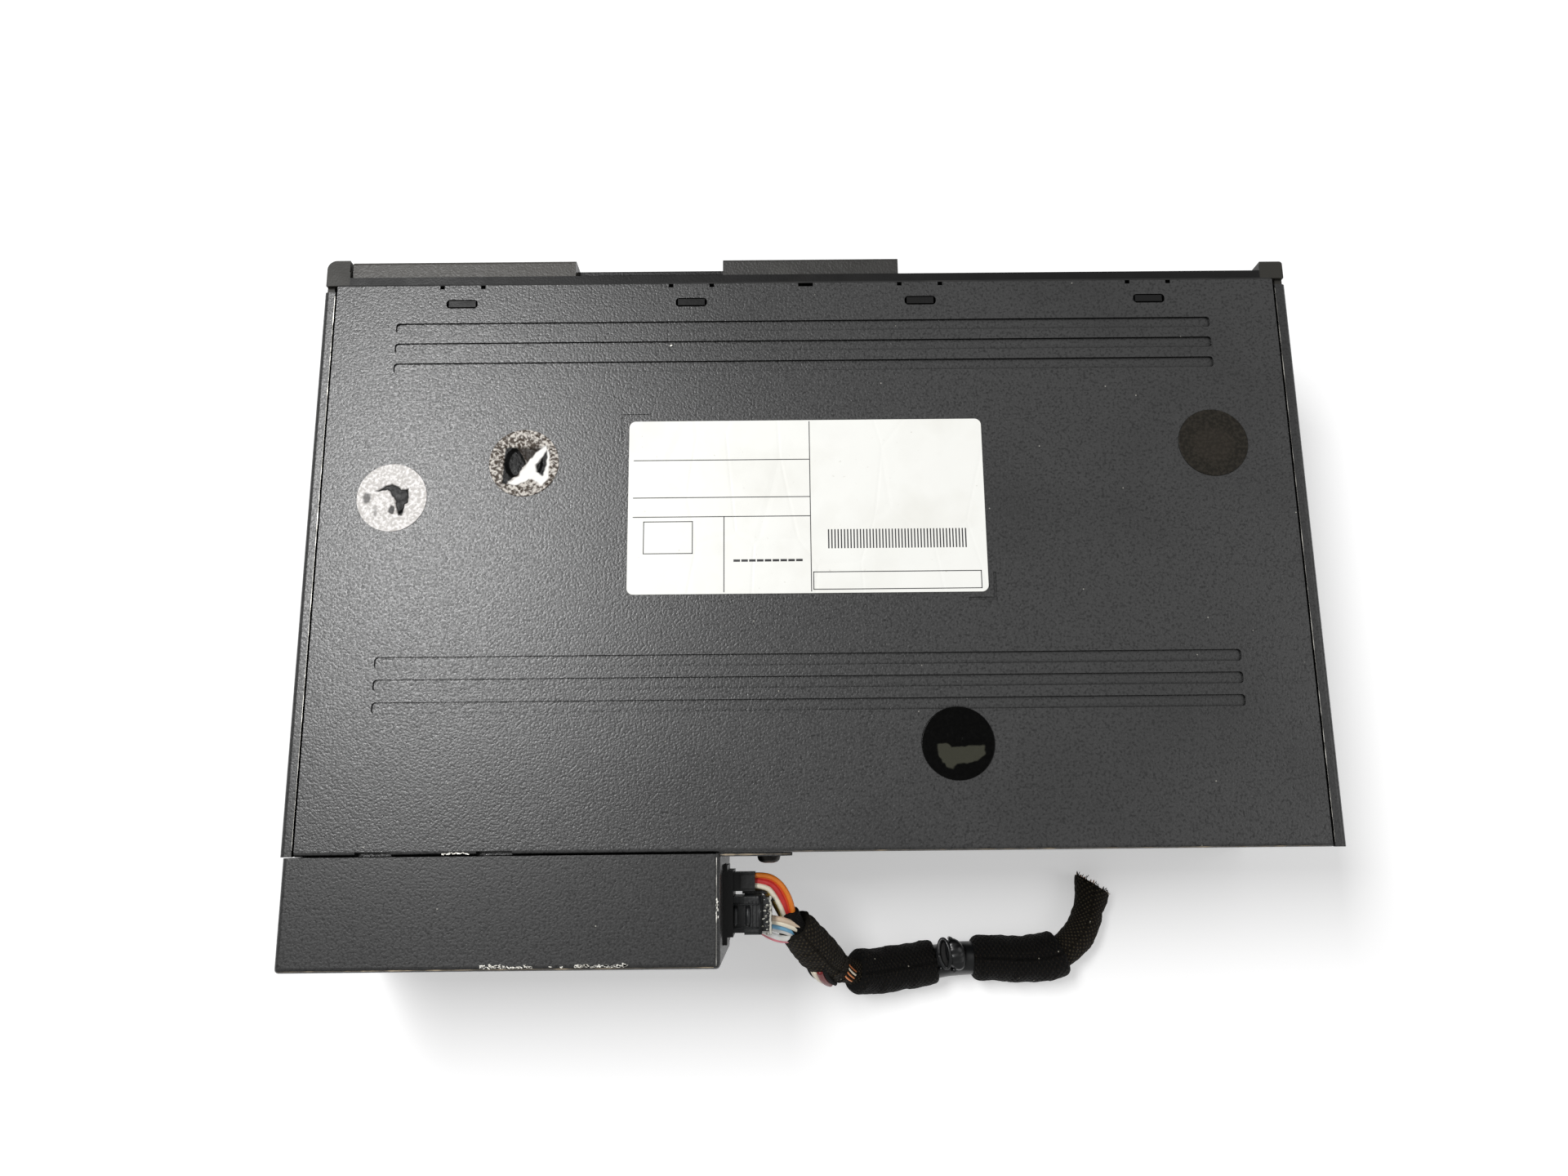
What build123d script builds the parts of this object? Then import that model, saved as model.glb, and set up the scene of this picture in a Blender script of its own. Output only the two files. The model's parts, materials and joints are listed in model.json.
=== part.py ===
from build123d import *
import math
import os

# Trunk-mounted disc changer, lying with its label face up.
# X runs across the front, -Y is the door side, Z is up, and the origin is the middle of the
# housing's bottom face. All sizes are in millimetres.

# ---- housing ----
BODY_W = 246.0
BODY_D = 142.0
BODY_H = 60.0
HALF_W = BODY_W / 2
HALF_D = BODY_D / 2
STEEL = 1.0
BEND_R = 1.3
FLANGE_W = 2.9            # inward top flange of each side wall
COVER_GAP = 0.5           # open line between the cover and a flange
COVER_HALF = HALF_W - FLANGE_W - COVER_GAP
COVER_Z = BODY_H - STEEL
WALL_FRONT = 1.5          # the side walls start this far behind the base plate's front edge
REAR_WALL_H = BODY_H - 10.0
REAR_FLAP_H = 14.0        # the cover's rear flap
REAR_SLOTS_X = (73.6, 101.5)
REAR_SLOT_L = 8.3
REAR_SLOT_W = 0.9
REAR_SLOT_H = 2.2
BEAD_DEPTH = 0.5
BEAD_L = BODY_W - 38.8
BEAD_W = 3.4
BEAD_PITCH = 5.4
BEAD_WALL = 0.3           # how much narrower a bead's groove is than its bump, on each side
FRONT_BEAD_Y = -HALF_D + 17.1     # middle bead of the front group
REAR_BEAD_Y = HALF_D - 39.4       # middle bead of the rear group
BEAD_X = 0.7

# ---- snap hooks between bezel and housing ----
HOOK_PITCH = 58.4
HOOK_COUNT = 4
HOOK_XS = [(i - (HOOK_COUNT - 1) / 2) * HOOK_PITCH for i in range(HOOK_COUNT)]
HOOK_SLOT_L = 8.0
HOOK_SLOT_W = 2.4
HOOK_Y = -HALF_D + 5.1
HOOK_W = 6.8
HOOK_T = 1.2
HOOK_CLEAR = 0.3
EDGE_NOTCH_W = 1.2
EDGE_NOTCH_D = 1.0
EDGE_NOTCH_X = 5.2        # each side of a hook
MID_NOTCH_W = 3.8

# ---- discs, trays and magazine ----
DISC_R = 60.0
DISC_T = 1.2
DISC_HOLE_R = 7.5
TRAY_COUNT = 6
TRAY_PITCH = 4.3
TRAY_T = 1.6
TRAY_SEAT = 0.6           # depth of the recess that the disc lies in
TRAY_HALF_D = DISC_R + 1.0
TRAY_HALF_W = DISC_R + 1.5
TRAY_SLOT_W = 24.0
TRAY_CLEAR = 0.3
DISC_CLEAR = 0.1
MAG_SKIN = 1.6
MAG_FRONT = 2.2
MAG_SIDE = 2.0
MAG_HALF_D = TRAY_HALF_D + 3.0
MAG_Z0 = 16.0
MAG_Z1 = MAG_Z0 + 2 * MAG_SKIN + TRAY_COUNT * TRAY_PITCH
MAG_RIGHT = HALF_W - 7.5
STORED_X = MAG_RIGHT - MAG_SIDE - 2.0 - TRAY_HALF_W     # disc centre in the magazine
MAG_X = (STORED_X - TRAY_HALF_W - 1.0, MAG_RIGHT)
PLAY_X = -HALF_W + 65.0   # disc centre over the turntable
TRAY_Z0 = MAG_Z0 + MAG_SKIN + TRAY_CLEAR
GRIP_W = 40.0             # finger recess in the magazine's front
GRIP_H = 12.0
GRIP_DEPTH = 1.2
GRIP_RIB_PITCH = 3.2
GUIDE_T = 1.0
GUIDE_CLEAR = 0.3

# ---- bezel and door ----
BEZEL_W = BODY_W - 0.8
BEZEL_BACK = -HALF_D - 0.2
BAND_FRONT = BEZEL_BACK - 3.8     # the fixed face that the leaves slide across
RAIL_FRONT = BAND_FRONT + 1.6     # the top and bottom rails that guide the leaves
RAIL_H = 3.6
BEZEL_Z0 = 0.3
CHANNEL_HALF = HALF_W - 6.4
END_BLOCK_FRONT = BAND_FRONT - 3.2    # the raised end block beside the closed door
PLAIN_END_FRONT = BAND_FRONT - 0.8    # the low end block at the open side
BEZEL_CORNER_R = 2.4
LEAF_FRONT = BAND_FRONT - 3.4
LEAF_BACK = RAIL_FRONT - 0.35
LEAF_WALL = 1.6
LEAF_END_WALL = 0.6
LEAF_Z0 = 1.3
LEAF_Z1 = BODY_H - 1.1
OUTER_W = 57.3
INNER_W = 45.1
LEAF_SPACING = 37.9       # between the two leaves of the closed door
STOP_CLEAR = 0.3
OUTER_LEAF = (CHANNEL_HALF - 0.2 - OUTER_W, CHANNEL_HALF - 0.2)
INNER_LEAF = (OUTER_LEAF[0] - LEAF_SPACING - INNER_W, OUTER_LEAF[0] - LEAF_SPACING)
INNER_TRAVEL = INNER_LEAF[0] + CHANNEL_HALF - STOP_CLEAR
OUTER_TRAVEL = INNER_TRAVEL + LEAF_SPACING - STOP_CLEAR
PANEL_FRONT = LEAF_FRONT + LEAF_WALL + 0.4
PANEL_T = 1.0
PANEL_END = INNER_LEAF[0] - INNER_TRAVEL + LEAF_END_WALL + STOP_CLEAR + OUTER_TRAVEL
GROOVE_CLEAR = 0.25
TONGUE_NECK = 1.4         # a leaf's tongue: neck length, then the head's thickness
TONGUE_HEAD = 0.5
MOUTH_X = (MAG_X[0] - 2.0, MAG_X[1] + 0.5)
MOUTH_Z = (MAG_Z0 - 2.0, MAG_Z1 + 2.0)

# ---- eject button and its switch ----
BUTTON_X = MOUTH_X[0] - 5.0
BUTTON_Z = 48.0
BUTTON_W = 6.4
BUTTON_H = 7.0
BUTTON_TRAVEL = 1.2
BUTTON_CLEAR = 0.3
BUTTON_RIM = 0.9          # flange behind the bezel that keeps the button in
SWITCH_TIP = BEZEL_BACK + 4.8
SWITCH_TIP_L = 1.2
SWITCH_HALF = 3.0
SWITCH_D = 3.2
SWITCH_BOARD_HALF = 5.0

# ---- play deck ----
DECK_X = (-HALF_W + 6.0, MAG_X[0] - 6.5)
DECK_Z = 10.2
DECK_T = 1.2
DECK_HALF_D = TRAY_HALF_D + 1.8
DECK_FLANGE_T = 1.2
DECK_FLANGE_TOP = DECK_Z + 5.8
TABLE_R = 10.5
TABLE_Z = (DECK_Z + 2.4, DECK_Z + 4.7)
CONE_TOP = DECK_Z + 6.9
SHAFT_R = 1.0
RUN_FIT = 0.05            # radial running clearance
LENS_Z = (DECK_Z + 4.0, DECK_Z + 5.2)
MOTOR_R = 11.0
MOTOR_Z = DECK_Z - 7.4
LENS_IN = 24.5            # lens distance from the spindle at rest
SLED_TRAVEL = 32.0
SLED_HALF_W = 17.0
ROD_X = 14.5
ROD_Z = DECK_Z - 3.0
ROD_Y = (-LENS_IN - SLED_TRAVEL - 4.6, -13.0)
SLED_MODULE = 0.6
SLED_TEETH = 24
MOTOR_TEETH = 9
SLED_BACKLASH = 0.14
SLED_RACK_X = PLAY_X - 21.0       # pitch line of the sled's rack
SLED_GEAR_X = SLED_RACK_X - SLED_MODULE * SLED_TEETH / 2
SLED_GEAR_Y = -20.0
SLED_MOTOR_X = SLED_GEAR_X - SLED_MODULE * (SLED_TEETH + MOTOR_TEETH) / 2
SLED_MOTOR_R = 7.0
SLED_MOTOR_H = 5.4
PINION_SHAFT_R = 0.8
GEAR_Z = (DECK_Z - 5.2, DECK_Z - 3.2)
ARM_PIVOT = (DECK_HALF_D - 3.8, TRAY_Z0 + 7.1)    # Y and Z of the clamp arm's pin
ARM_X = (PLAY_X - 8.5, PLAY_X + 8.5)
ARM_T = 1.2
ARM_DROP = 1.1            # from the pin's centre down to the arm's underside
EAR_GAP = 1.0             # between the arm and the ears that hold its pin
EAR_WALL = 1.2
CLAMPER_R = 13.0

# ---- lift ----
LIFT = TRAY_PITCH * (TRAY_COUNT - 1)
CAM_TRAVEL = 24.0
PIN_X = (PLAY_X - 32.0, PLAY_X + 12.0)
PIN_Z = DECK_Z + 3.2
PIN_R = 1.3
PIN_CLEAR = 0.3
CHASSIS_T = 1.0
CHASSIS_IN = DECK_HALF_D + 1.4    # inner face of each chassis plate, from the middle
CHASSIS_X = (-HALF_W + 4.0, PIN_X[1] + 22.0)
CHASSIS_Z = (4.0, PIN_Z + LIFT + 5.1)
CAM_T = 1.0
CAM_GAP = 0.6
CAM_OUT = CHASSIS_IN + CHASSIS_T + CAM_GAP
CAM_X = (PIN_X[0] - 4.5, PIN_X[1] + CAM_TRAVEL + 4.4)
CAM_Z = (7.0, PIN_Z + LIFT + 4.3)
STUD_X = (PIN_X[0] + 2.0, PIN_X[1] - 6.0)
STUD_Z = 9.3
STUD_R = 0.8
STUD_HEAD_R = 1.9
STUD_HEAD_T = 0.8
DAMPER_R = 4.0
DAMPER_X = (CHASSIS_X[0] + 9.0, CHASSIS_X[1] - 12.0)
DAMPER_Y = CHASSIS_IN - 5.0
RACK_MODULE = 0.8
RACK_BACKLASH = 0.16
LIFT_TEETH = 14
LIFT_GEAR_X = PIN_X[0] + 10.0
LIFT_GEAR_Z = CAM_Z[1] + 1.2 * RACK_MODULE + RACK_MODULE * LIFT_TEETH / 2
LIFT_RACK_X = (LIFT_GEAR_X - 10.0, LIFT_GEAR_X + CAM_TRAVEL + 6.0)
LIFT_SHAFT_R = 1.5
GEARBOX_HALF_W = 7.0
GEARBOX_HALF_H = 5.5
GEARBOX_D = 9.0
LIFT_MOTOR_R = 5.3
LIFT_MOTOR_L = 20.0

# ---- boards ----
BOARD_T = 1.6
BOARD_X = (-HALF_W + 11.0, -HALF_W + 189.0)
BOARD_Y = (-44.0, 62.0)
BOARD_Z = COVER_Z - 5.6
BOARD_HOLE_IN = 4.0
CHIP_T = 2.2
CHIPS = [                 # middle from the board's left front corner, then width and depth
    (52, 24, 20, 20),
    (92, 18, 14, 14),
    (122, 24, 12, 20),
    (146, 54, 8, 24),
    (24, 52, 10, 16),
]
CAPACITORS = [(82, 52), (96, 52), (164, 26), (164, 38), (38, 56)]
CAPACITOR_R = 3.2
CAPACITOR_H = 3.2

# ---- rear connector box, plugs and harness ----
BOX_X = (21.6, HALF_W - 0.7)
BOX_Y = (HALF_D + 0.2, HALF_D + 25.6)
BOX_Z0 = 12.0
SOCKET_Y = (BOX_Y[0] + 3.0, BOX_Y[0] + 21.4)
SOCKET_Z = (31.0, 47.0)
SOCKET_FACE = BOX_X[0] - 2.4
SOCKET_STEP = 1.4
SOCKET_DEPTH = 5.0
BIG_PLUG_Y = (SOCKET_Y[0] + 7.4, SOCKET_Y[0] + 15.8)
BIG_PLUG_Z = (33.4, 44.6)
SMALL_PLUG_Y = (SOCKET_Y[0] + 1.7, SOCKET_Y[0] + 6.1)
SMALL_PLUG_Z = (37.2, 44.8)
SMALL_PLUG_END = SOCKET_FACE - 5.2
BIG_PLUG_END = SOCKET_FACE - 9.2
PLUG_CLEAR = 0.15
PLUG_SHORT = 0.2          # the plugs end this far short of the socket's floor
EAR_X = 5.0
EAR_T = 0.8
EAR_Z = (BODY_H - 14.0, BODY_H - 1.0)
EAR_CORNER = 2.5
CORD_D = 7.8
WRAP_D = 11.4
WRAP_CLEAR = 0.3
NEAR_WRAP = (7, 10)       # the stretches of the route under each taped sleeve and the clip
FAR_WRAP = (13, 18)
CLIP_ON = 11
WIRE_D = 1.3
CORD_ROUTE = [
    (4.4, 89.2, 35.0),
    (-0.2, 94.9, 28.0),
    (-4.6, 100.0, 19.2),
    (-9.8, 102.9, 12.0),
    (-17.2, 103.4, 8.0),
    (-27.5, 102.2, 6.2),
    (-38.5, 100.4, 6.0),
    (-48.0, 100.3, 5.9),
    (-58.0, 101.0, 6.0),
    (-66.5, 100.0, 6.2),
    (-72.5, 96.0, 5.6),
    (-76.5, 89.7, 4.8),
    (-78.0, 81.8, 4.3),
]
WIRE_LEAD = 1.8
WIRE_RING = 2.5           # the wires enter the bundle on a circle of this radius
SMALL_WIRES = [
    ((14.0, 76.7, 42.8), [(8.8, 77.9, 42.6), (6.3, 81.8, 41.6)], 90),
    ((14.0, 77.9, 40.9), [(8.4, 79.2, 40.6), (6.0, 83.0, 39.8)], 150),
    ((14.0, 78.7, 38.8), [(8.8, 79.3, 38.4), (7.2, 82.8, 37.8)], 210),
]
LARGE_WIRES = [
    ((10.0, 87.9, 42.4), [], 30),
    ((10.0, 88.6, 38.6), [], 330),
    ((10.0, 85.2, 36.0), [], 270),
]

# ---- fasteners, dials, films and label ----
SCREW_R = 2.75
SCREW_H = 1.8
REAR_SCREWS_X = (-96.0, -8.0)
REAR_SCREW_Z = BODY_H - 7.5
EAR_SCREW_X = EAR_X + 5.5
BRACKET_R = 2.1           # tapped hole for an M5 bracket screw
NUT_AF = 7.0              # across the flats of the rivet nut's shank
NUT_PLAY = 0.1            # round the shank in the side wall's hole
NUT_SINK = 0.1            # from the wall's outer face in to the shank's end
NUT_L = 5.0
NUT_FLANGE = 5.0
NUT_FLANGE_T = 1.2
NUT_SEAM = 0.05           # between the nut's flange and the wall
BRACKET_Y_LEFT = 46.0     # the right pair is closer together, so brackets can't be swapped
BRACKET_Y_RIGHT = 40.0
BRACKET_Z = 30.0
DIAL_R = 9.0
DIAL_Y = 8.0
DIAL_Z = 38.0
DIAL_CLEAR = 0.3
DIAL_RIM = 1.5
FILM_R = 8.6
FILM_T = 0.12
FILMS = [(102.3, -14.7), (70.2, -23.3), (-100.6, -27.0), (-34.2, 46.5)]
TRANSIT_HOLE_R = 5.0
LABEL_X = 0.6
LABEL_Y = -11.8
LABEL_W = 87.4
LABEL_H = 44.0
LABEL_T = 0.12
LABEL_R = 1.6
MARK_GAP = 2.0            # from the label to its locating marks
MARK_L = 6.8
MARK_W = 0.7
MARK_DEPTH = 0.2


# ---- small helpers ----
def block(xs, ys, zs):
    size = [b - a for a, b in (xs, ys, zs)]
    middle = [(a + b) / 2 for a, b in (xs, ys, zs)]
    return Pos(*middle) * Box(*size)


def rod(radius, start, end):
    """A round bar between two points on a line parallel to an axis."""
    line = Vector(*end) - Vector(*start)
    plane = Plane(origin=start, z_dir=line)
    return extrude(plane * Circle(radius), line.length)


def prism_x(sketch, x0, x1):
    return extrude(Plane.YZ.offset(x0) * sketch, x1 - x0)


def prism_y(sketch, y0, y1):
    return extrude(Plane.XZ.offset(-y1) * sketch, y1 - y0)


def prism_z(sketch, z0, z1):
    return extrude(Plane.XY.offset(z0) * sketch, z1 - z0)


def outline(points):
    return make_face(Polyline(*points, close=True))


def rounded(w, h, r, x=0.0, y=0.0):
    return Pos(x, y) * RectangleRounded(w, h, r)


def mirrored(part):
    """The same shape on the other side of the middle plane Y = 0."""
    return mirror(part, Plane.XZ)


def gear_outline(module, teeth, backlash):
    """An involute wheel whose first tooth points along local +X."""
    pitch_r = module * teeth / 2
    base_r = pitch_r * math.cos(math.radians(20))
    tip_r = pitch_r + module
    root_r = pitch_r - 1.2 * module
    half_tooth = (math.pi * module / 2 - backlash) / 2 / pitch_r

    def involute(r):
        a = math.acos(min(1.0, base_r / r))
        return math.tan(a) - a

    flank = []
    for i in range(4):
        r = max(base_r, root_r) + (tip_r - max(base_r, root_r)) * i / 3
        flank.append((r, half_tooth + involute(pitch_r) - involute(r)))
    points = []
    for k in range(teeth):
        middle = 2 * math.pi * k / teeth
        side = [(root_r, flank[0][1] + 0.02)] + flank
        low = [(r, middle - a) for r, a in side]
        high = [(r, middle + a) for r, a in reversed(side)]
        points += [(r * math.cos(a), r * math.sin(a)) for r, a in low + high]
    return outline(points)


def rack_outline(module, start, end, phase, backlash, depth):
    """A rack along local X with its teeth towards +Y and its pitch line on Y = 0."""
    pitch = math.pi * module
    slope = math.tan(math.radians(20))
    half = pitch / 4 - backlash / 2
    root, tip = -1.2 * module, 0.9 * module
    points = [(start, -depth)]
    first = math.ceil((start - phase) / pitch + 0.5)
    last = math.floor((end - phase) / pitch - 0.5)
    points.append((start, root))
    for k in range(first, last + 1):
        x = phase + k * pitch
        points.append((x - half + root * slope, root))
        points.append((x - half + tip * slope, tip))
        points.append((x + half - tip * slope, tip))
        points.append((x + half - root * slope, root))
    points.append((end, root))
    points.append((end, -depth))
    return outline(points)


# ---- housing pieces ----
def bracket_places(side):
    """The two screw positions along one side wall; side is 1 for the left wall and -1 for the right."""
    y = BRACKET_Y_LEFT if side > 0 else BRACKET_Y_RIGHT
    return (-y, y)


def hexagon(across, y, z):
    """A hexagon across the X axis, by its width across flats."""
    return Pos(y, z) * RegularPolygon(across / math.sqrt(3), 6)


def bottom_case():
    outer = RectangleRounded(BODY_W, BODY_H, BEND_R)
    inner = RectangleRounded(BODY_W - 2 * STEEL, BODY_H - 2 * STEEL, BEND_R - STEEL)
    opening = Pos(0, BODY_H / 2) * Rectangle(BODY_W - 2 * FLANGE_W, 3 * STEEL)
    channel = Pos(0, BODY_H / 2) * (outer - inner - opening)
    case = prism_y(channel, -HALF_D + WALL_FRONT, HALF_D)
    lip_x = (-HALF_W + BEND_R, HALF_W - BEND_R)
    case += block(lip_x, (-HALF_D, -HALF_D + WALL_FRONT), (0, STEEL))
    rear_in = HALF_D - 2 * STEEL
    case += block((-HALF_W + STEEL, HALF_W - STEEL), (rear_in, rear_in + STEEL), (0, REAR_WALL_H))
    for x in HOOK_XS:
        case -= prism_z(rounded(HOOK_SLOT_L, HOOK_SLOT_W, 1.0, x, HOOK_Y), -1, 2 * STEEL)
    for side in (-1, 1):
        wall = side * HALF_W
        case -= rod(DIAL_R + DIAL_CLEAR, (wall - 2, DIAL_Y, DIAL_Z), (wall + 2, DIAL_Y, DIAL_Z))
        for y in bracket_places(side):
            hole = hexagon(NUT_AF + 2 * NUT_PLAY, y, BRACKET_Z)
            case -= prism_x(hole, wall - 2, wall + 2)
    return case


def bracket_nuts():
    """Rivet nuts with hexagonal shanks in the side walls, two for each mounting bracket."""
    nuts = []
    heights = (BRACKET_Z - NUT_FLANGE, BRACKET_Z + NUT_FLANGE)
    for side in (-1, 1):
        face = side * (HALF_W - NUT_SINK)
        end = face - side * NUT_L
        seat = side * (HALF_W - STEEL - NUT_SEAM)
        flange = sorted((seat, seat - side * NUT_FLANGE_T))
        for y in bracket_places(side):
            nut = prism_x(hexagon(NUT_AF, y, BRACKET_Z), *sorted((face, end)))
            nut += block(flange, (y - NUT_FLANGE, y + NUT_FLANGE), heights)
            nuts.append(nut - rod(BRACKET_R, (face + side, y, BRACKET_Z), (end - side, y, BRACKET_Z)))
    return nuts


def beads(y_middle, z0, z1, grow):
    group = []
    for i in (-1, 0, 1):
        shape = rounded(BEAD_L + grow, BEAD_W + grow, 0.9, BEAD_X, y_middle + i * BEAD_PITCH)
        group.append(prism_z(shape, z0, z1))
    return group


def label_marks():
    """Two pressed corner marks that the label is lined up to."""
    marks = []
    for side in (1, -1):
        x = LABEL_X + side * (LABEL_W / 2 + MARK_GAP)
        y = LABEL_Y - side * (LABEL_H / 2 + MARK_GAP)
        zs = (BODY_H - MARK_DEPTH, BODY_H + 1)
        marks.append(block(sorted((x, x - side * MARK_L)), sorted((y, y + side * MARK_W)), zs))
        marks.append(block(sorted((x, x - side * MARK_W)), sorted((y, y + side * MARK_L)), zs))
    return marks


def top_cover():
    cover = block((-COVER_HALF, COVER_HALF), (-HALF_D, HALF_D), (COVER_Z, BODY_H))
    flap = (HALF_D - STEEL, HALF_D)
    cover += block((-COVER_HALF, COVER_HALF), flap, (BODY_H - REAR_FLAP_H, BODY_H))
    bend = cover.edges().filter_by(Axis.X).filter_by_position(Axis.Y, HALF_D, HALF_D)
    cover = fillet(bend.sort_by(Axis.Z)[-1], BEND_R - 0.2)
    for y in (FRONT_BEAD_Y, REAR_BEAD_Y):
        for bump in beads(y, COVER_Z - BEAD_DEPTH, COVER_Z, 0.0):
            cover += bump
        for groove in beads(y, BODY_H - BEAD_DEPTH, BODY_H + 1, -2 * BEAD_WALL):
            cover -= groove
    for x in HOOK_XS:
        cover -= prism_z(rounded(HOOK_SLOT_L, HOOK_SLOT_W, 1.0, x, HOOK_Y), COVER_Z - 1, BODY_H + 1)
    notches = [(x + side * EDGE_NOTCH_X, EDGE_NOTCH_W) for x in HOOK_XS for side in (-1, 1)]
    for x, width in notches + [(0.0, MID_NOTCH_W)]:
        edge = (-HALF_D - 1, -HALF_D + EDGE_NOTCH_D)
        cover -= block((x - width / 2, x + width / 2), edge, (COVER_Z - 1, BODY_H + 1))
    for x, y in FILMS:
        cover -= prism_z(Pos(x, y) * Circle(TRANSIT_HOLE_R), COVER_Z - 1, BODY_H + 1)
    for mark in label_marks():
        cover -= mark
    for x in REAR_SLOTS_X:
        slot = (x - REAR_SLOT_L / 2, x + REAR_SLOT_L / 2)
        cover -= block(slot, (HALF_D - REAR_SLOT_W, HALF_D + 1), (BODY_H - REAR_SLOT_H, BODY_H + 1))
    return cover


def transit_films():
    return [prism_z(Pos(x, y) * Circle(FILM_R), BODY_H, BODY_H + FILM_T) for x, y in FILMS]


def type_label():
    return prism_z(rounded(LABEL_W, LABEL_H, LABEL_R, LABEL_X, LABEL_Y), BODY_H, BODY_H + LABEL_T)


def rear_screws():
    spots = [(x, HALF_D) for x in REAR_SCREWS_X] + [(EAR_SCREW_X, HALF_D + EAR_T)]
    return [screw_head((x, y, REAR_SCREW_Z), (0, 1, 0)) for x, y in spots]


def screw_head(seat, direction):
    plane = Plane(origin=seat, z_dir=direction)
    head = extrude(plane * Circle(SCREW_R), SCREW_H)
    rims = head.edges().filter_by(GeomType.CIRCLE)
    head = fillet(rims.sort_by_distance(plane.offset(SCREW_H).origin)[0], 0.7)
    arm = Rectangle(2.6, 0.6) + Rectangle(0.6, 2.6)
    return head - extrude(plane.offset(SCREW_H - 0.8) * arm, 2.0)


# ---- bezel and sliding door ----
def tongue(z_mid, grow):
    """Section of a leaf's guide tongue, or of the groove round it."""
    root = LEAF_BACK - 0.3
    step = root + TONGUE_NECK - grow
    tip = root + TONGUE_NECK + TONGUE_HEAD + grow
    neck = 0.3 + grow
    head = 0.8 + grow
    return outline([
        (root, z_mid - neck),
        (step, z_mid - neck),
        (step, z_mid - head),
        (tip, z_mid - head),
        (tip, z_mid + head),
        (step, z_mid + head),
        (step, z_mid + neck),
        (root, z_mid + neck),
    ])


def rail_middles():
    inset = RAIL_H / 2 - 0.05
    return (BEZEL_Z0 + inset, BODY_H - inset)


def front_bezel():
    half = BEZEL_W / 2
    bezel = block((-half, half), (BAND_FRONT, BEZEL_BACK), (BEZEL_Z0, BODY_H))
    for z0, z1 in ((BEZEL_Z0 - 1, BEZEL_Z0 + RAIL_H), (BODY_H - RAIL_H, BODY_H + 1)):
        bezel -= block((-CHANNEL_HALF, CHANNEL_HALF), (BAND_FRONT - 1, RAIL_FRONT), (z0, z1))
    for z in rail_middles():
        bezel -= prism_x(tongue(z, GROOVE_CLEAR), -CHANNEL_HALF, CHANNEL_HALF)
    bezel -= block(MOUTH_X, (BAND_FRONT - 1, BEZEL_BACK + 1), MOUTH_Z)
    arm_back = -HALF_D + WALL_FRONT - 0.3
    for side, front in ((1, END_BLOCK_FRONT), (-1, PLAIN_END_FRONT)):
        xs = sorted((side * (CHANNEL_HALF + 0.2), side * half))
        end = block(xs, (front, BAND_FRONT), (BEZEL_Z0, BODY_H))
        front_edges = end.edges().filter_by(Axis.Z).sort_by(Axis.Y)[:2].sort_by(Axis.X)
        corner = front_edges[1 if side > 0 else 0]
        reach = min(BEZEL_CORNER_R, (BAND_FRONT - front) * 0.95)
        bezel += fillet(corner, reach)
        wing = sorted((side * (half - 1.8), side * half))
        bezel += block(wing, (BEZEL_BACK, arm_back), (STEEL + 0.2, BODY_H - STEEL - 0.2))
    for x in HOOK_XS:
        xs = (x - HOOK_W / 2, x + HOOK_W / 2)
        barb = (HOOK_Y - 1.0, HOOK_Y + 0.7)
        upper = (COVER_Z - HOOK_CLEAR - HOOK_T, COVER_Z - HOOK_CLEAR)
        lower = (STEEL + HOOK_CLEAR, STEEL + HOOK_CLEAR + HOOK_T)
        bezel += block(xs, (BEZEL_BACK, barb[1]), upper)
        bezel += block(xs, barb, (upper[0], BODY_H - 0.2))
        bezel += block(xs, (BEZEL_BACK, barb[1]), lower)
        bezel += block(xs, barb, (0.2, lower[1]))
    w, h = BUTTON_W / 2 + BUTTON_CLEAR, BUTTON_H / 2 + BUTTON_CLEAR
    hole = ((BUTTON_X - w, BUTTON_X + w), (BAND_FRONT - 1, BEZEL_BACK + 1))
    bezel -= block(*hole, (BUTTON_Z - h, BUTTON_Z + h))
    return bezel


def leaf(xs, end_walls):
    """A channel-shaped leaf whose tongues run in the bezel's rails."""
    x0, x1 = xs
    shell = block(xs, (LEAF_FRONT, LEAF_BACK), (LEAF_Z0, LEAF_Z1))
    inside = block(xs, (LEAF_FRONT + LEAF_WALL, LEAF_BACK + 1), (LEAF_Z0 + 1.8, LEAF_Z1 - 1.8))
    shell = fillet(shell.edges().filter_by(Axis.X).sort_by(Axis.Y)[:2], 0.9)
    shell -= inside
    for side in end_walls:
        x = x0 if side < 0 else x1
        wall = sorted((x, x - side * LEAF_END_WALL))
        shell += block(wall, (LEAF_FRONT + 0.5, BAND_FRONT - 0.4), (LEAF_Z0 + 1, LEAF_Z1 - 1))
    for z in rail_middles():
        shell += prism_x(tongue(z, 0.0), x0 + 1.0, x1 - 1.0)
    return shell


def door_outer_leaf():
    shell = leaf(OUTER_LEAF, (1, ))
    back = (PANEL_FRONT, PANEL_FRONT + PANEL_T)
    shell += block((PANEL_END, OUTER_LEAF[1] - 1), back, (LEAF_Z0 + 2.6, LEAF_Z1 - 2.6))
    web = (LEAF_FRONT + 0.5, PANEL_FRONT + PANEL_T)
    shell += block((OUTER_LEAF[0], OUTER_LEAF[0] + 1.2), web, (LEAF_Z0 + 1, LEAF_Z1 - 1))
    return shell


def door_inner_leaf():
    return leaf(INNER_LEAF, (-1, ))


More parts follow.
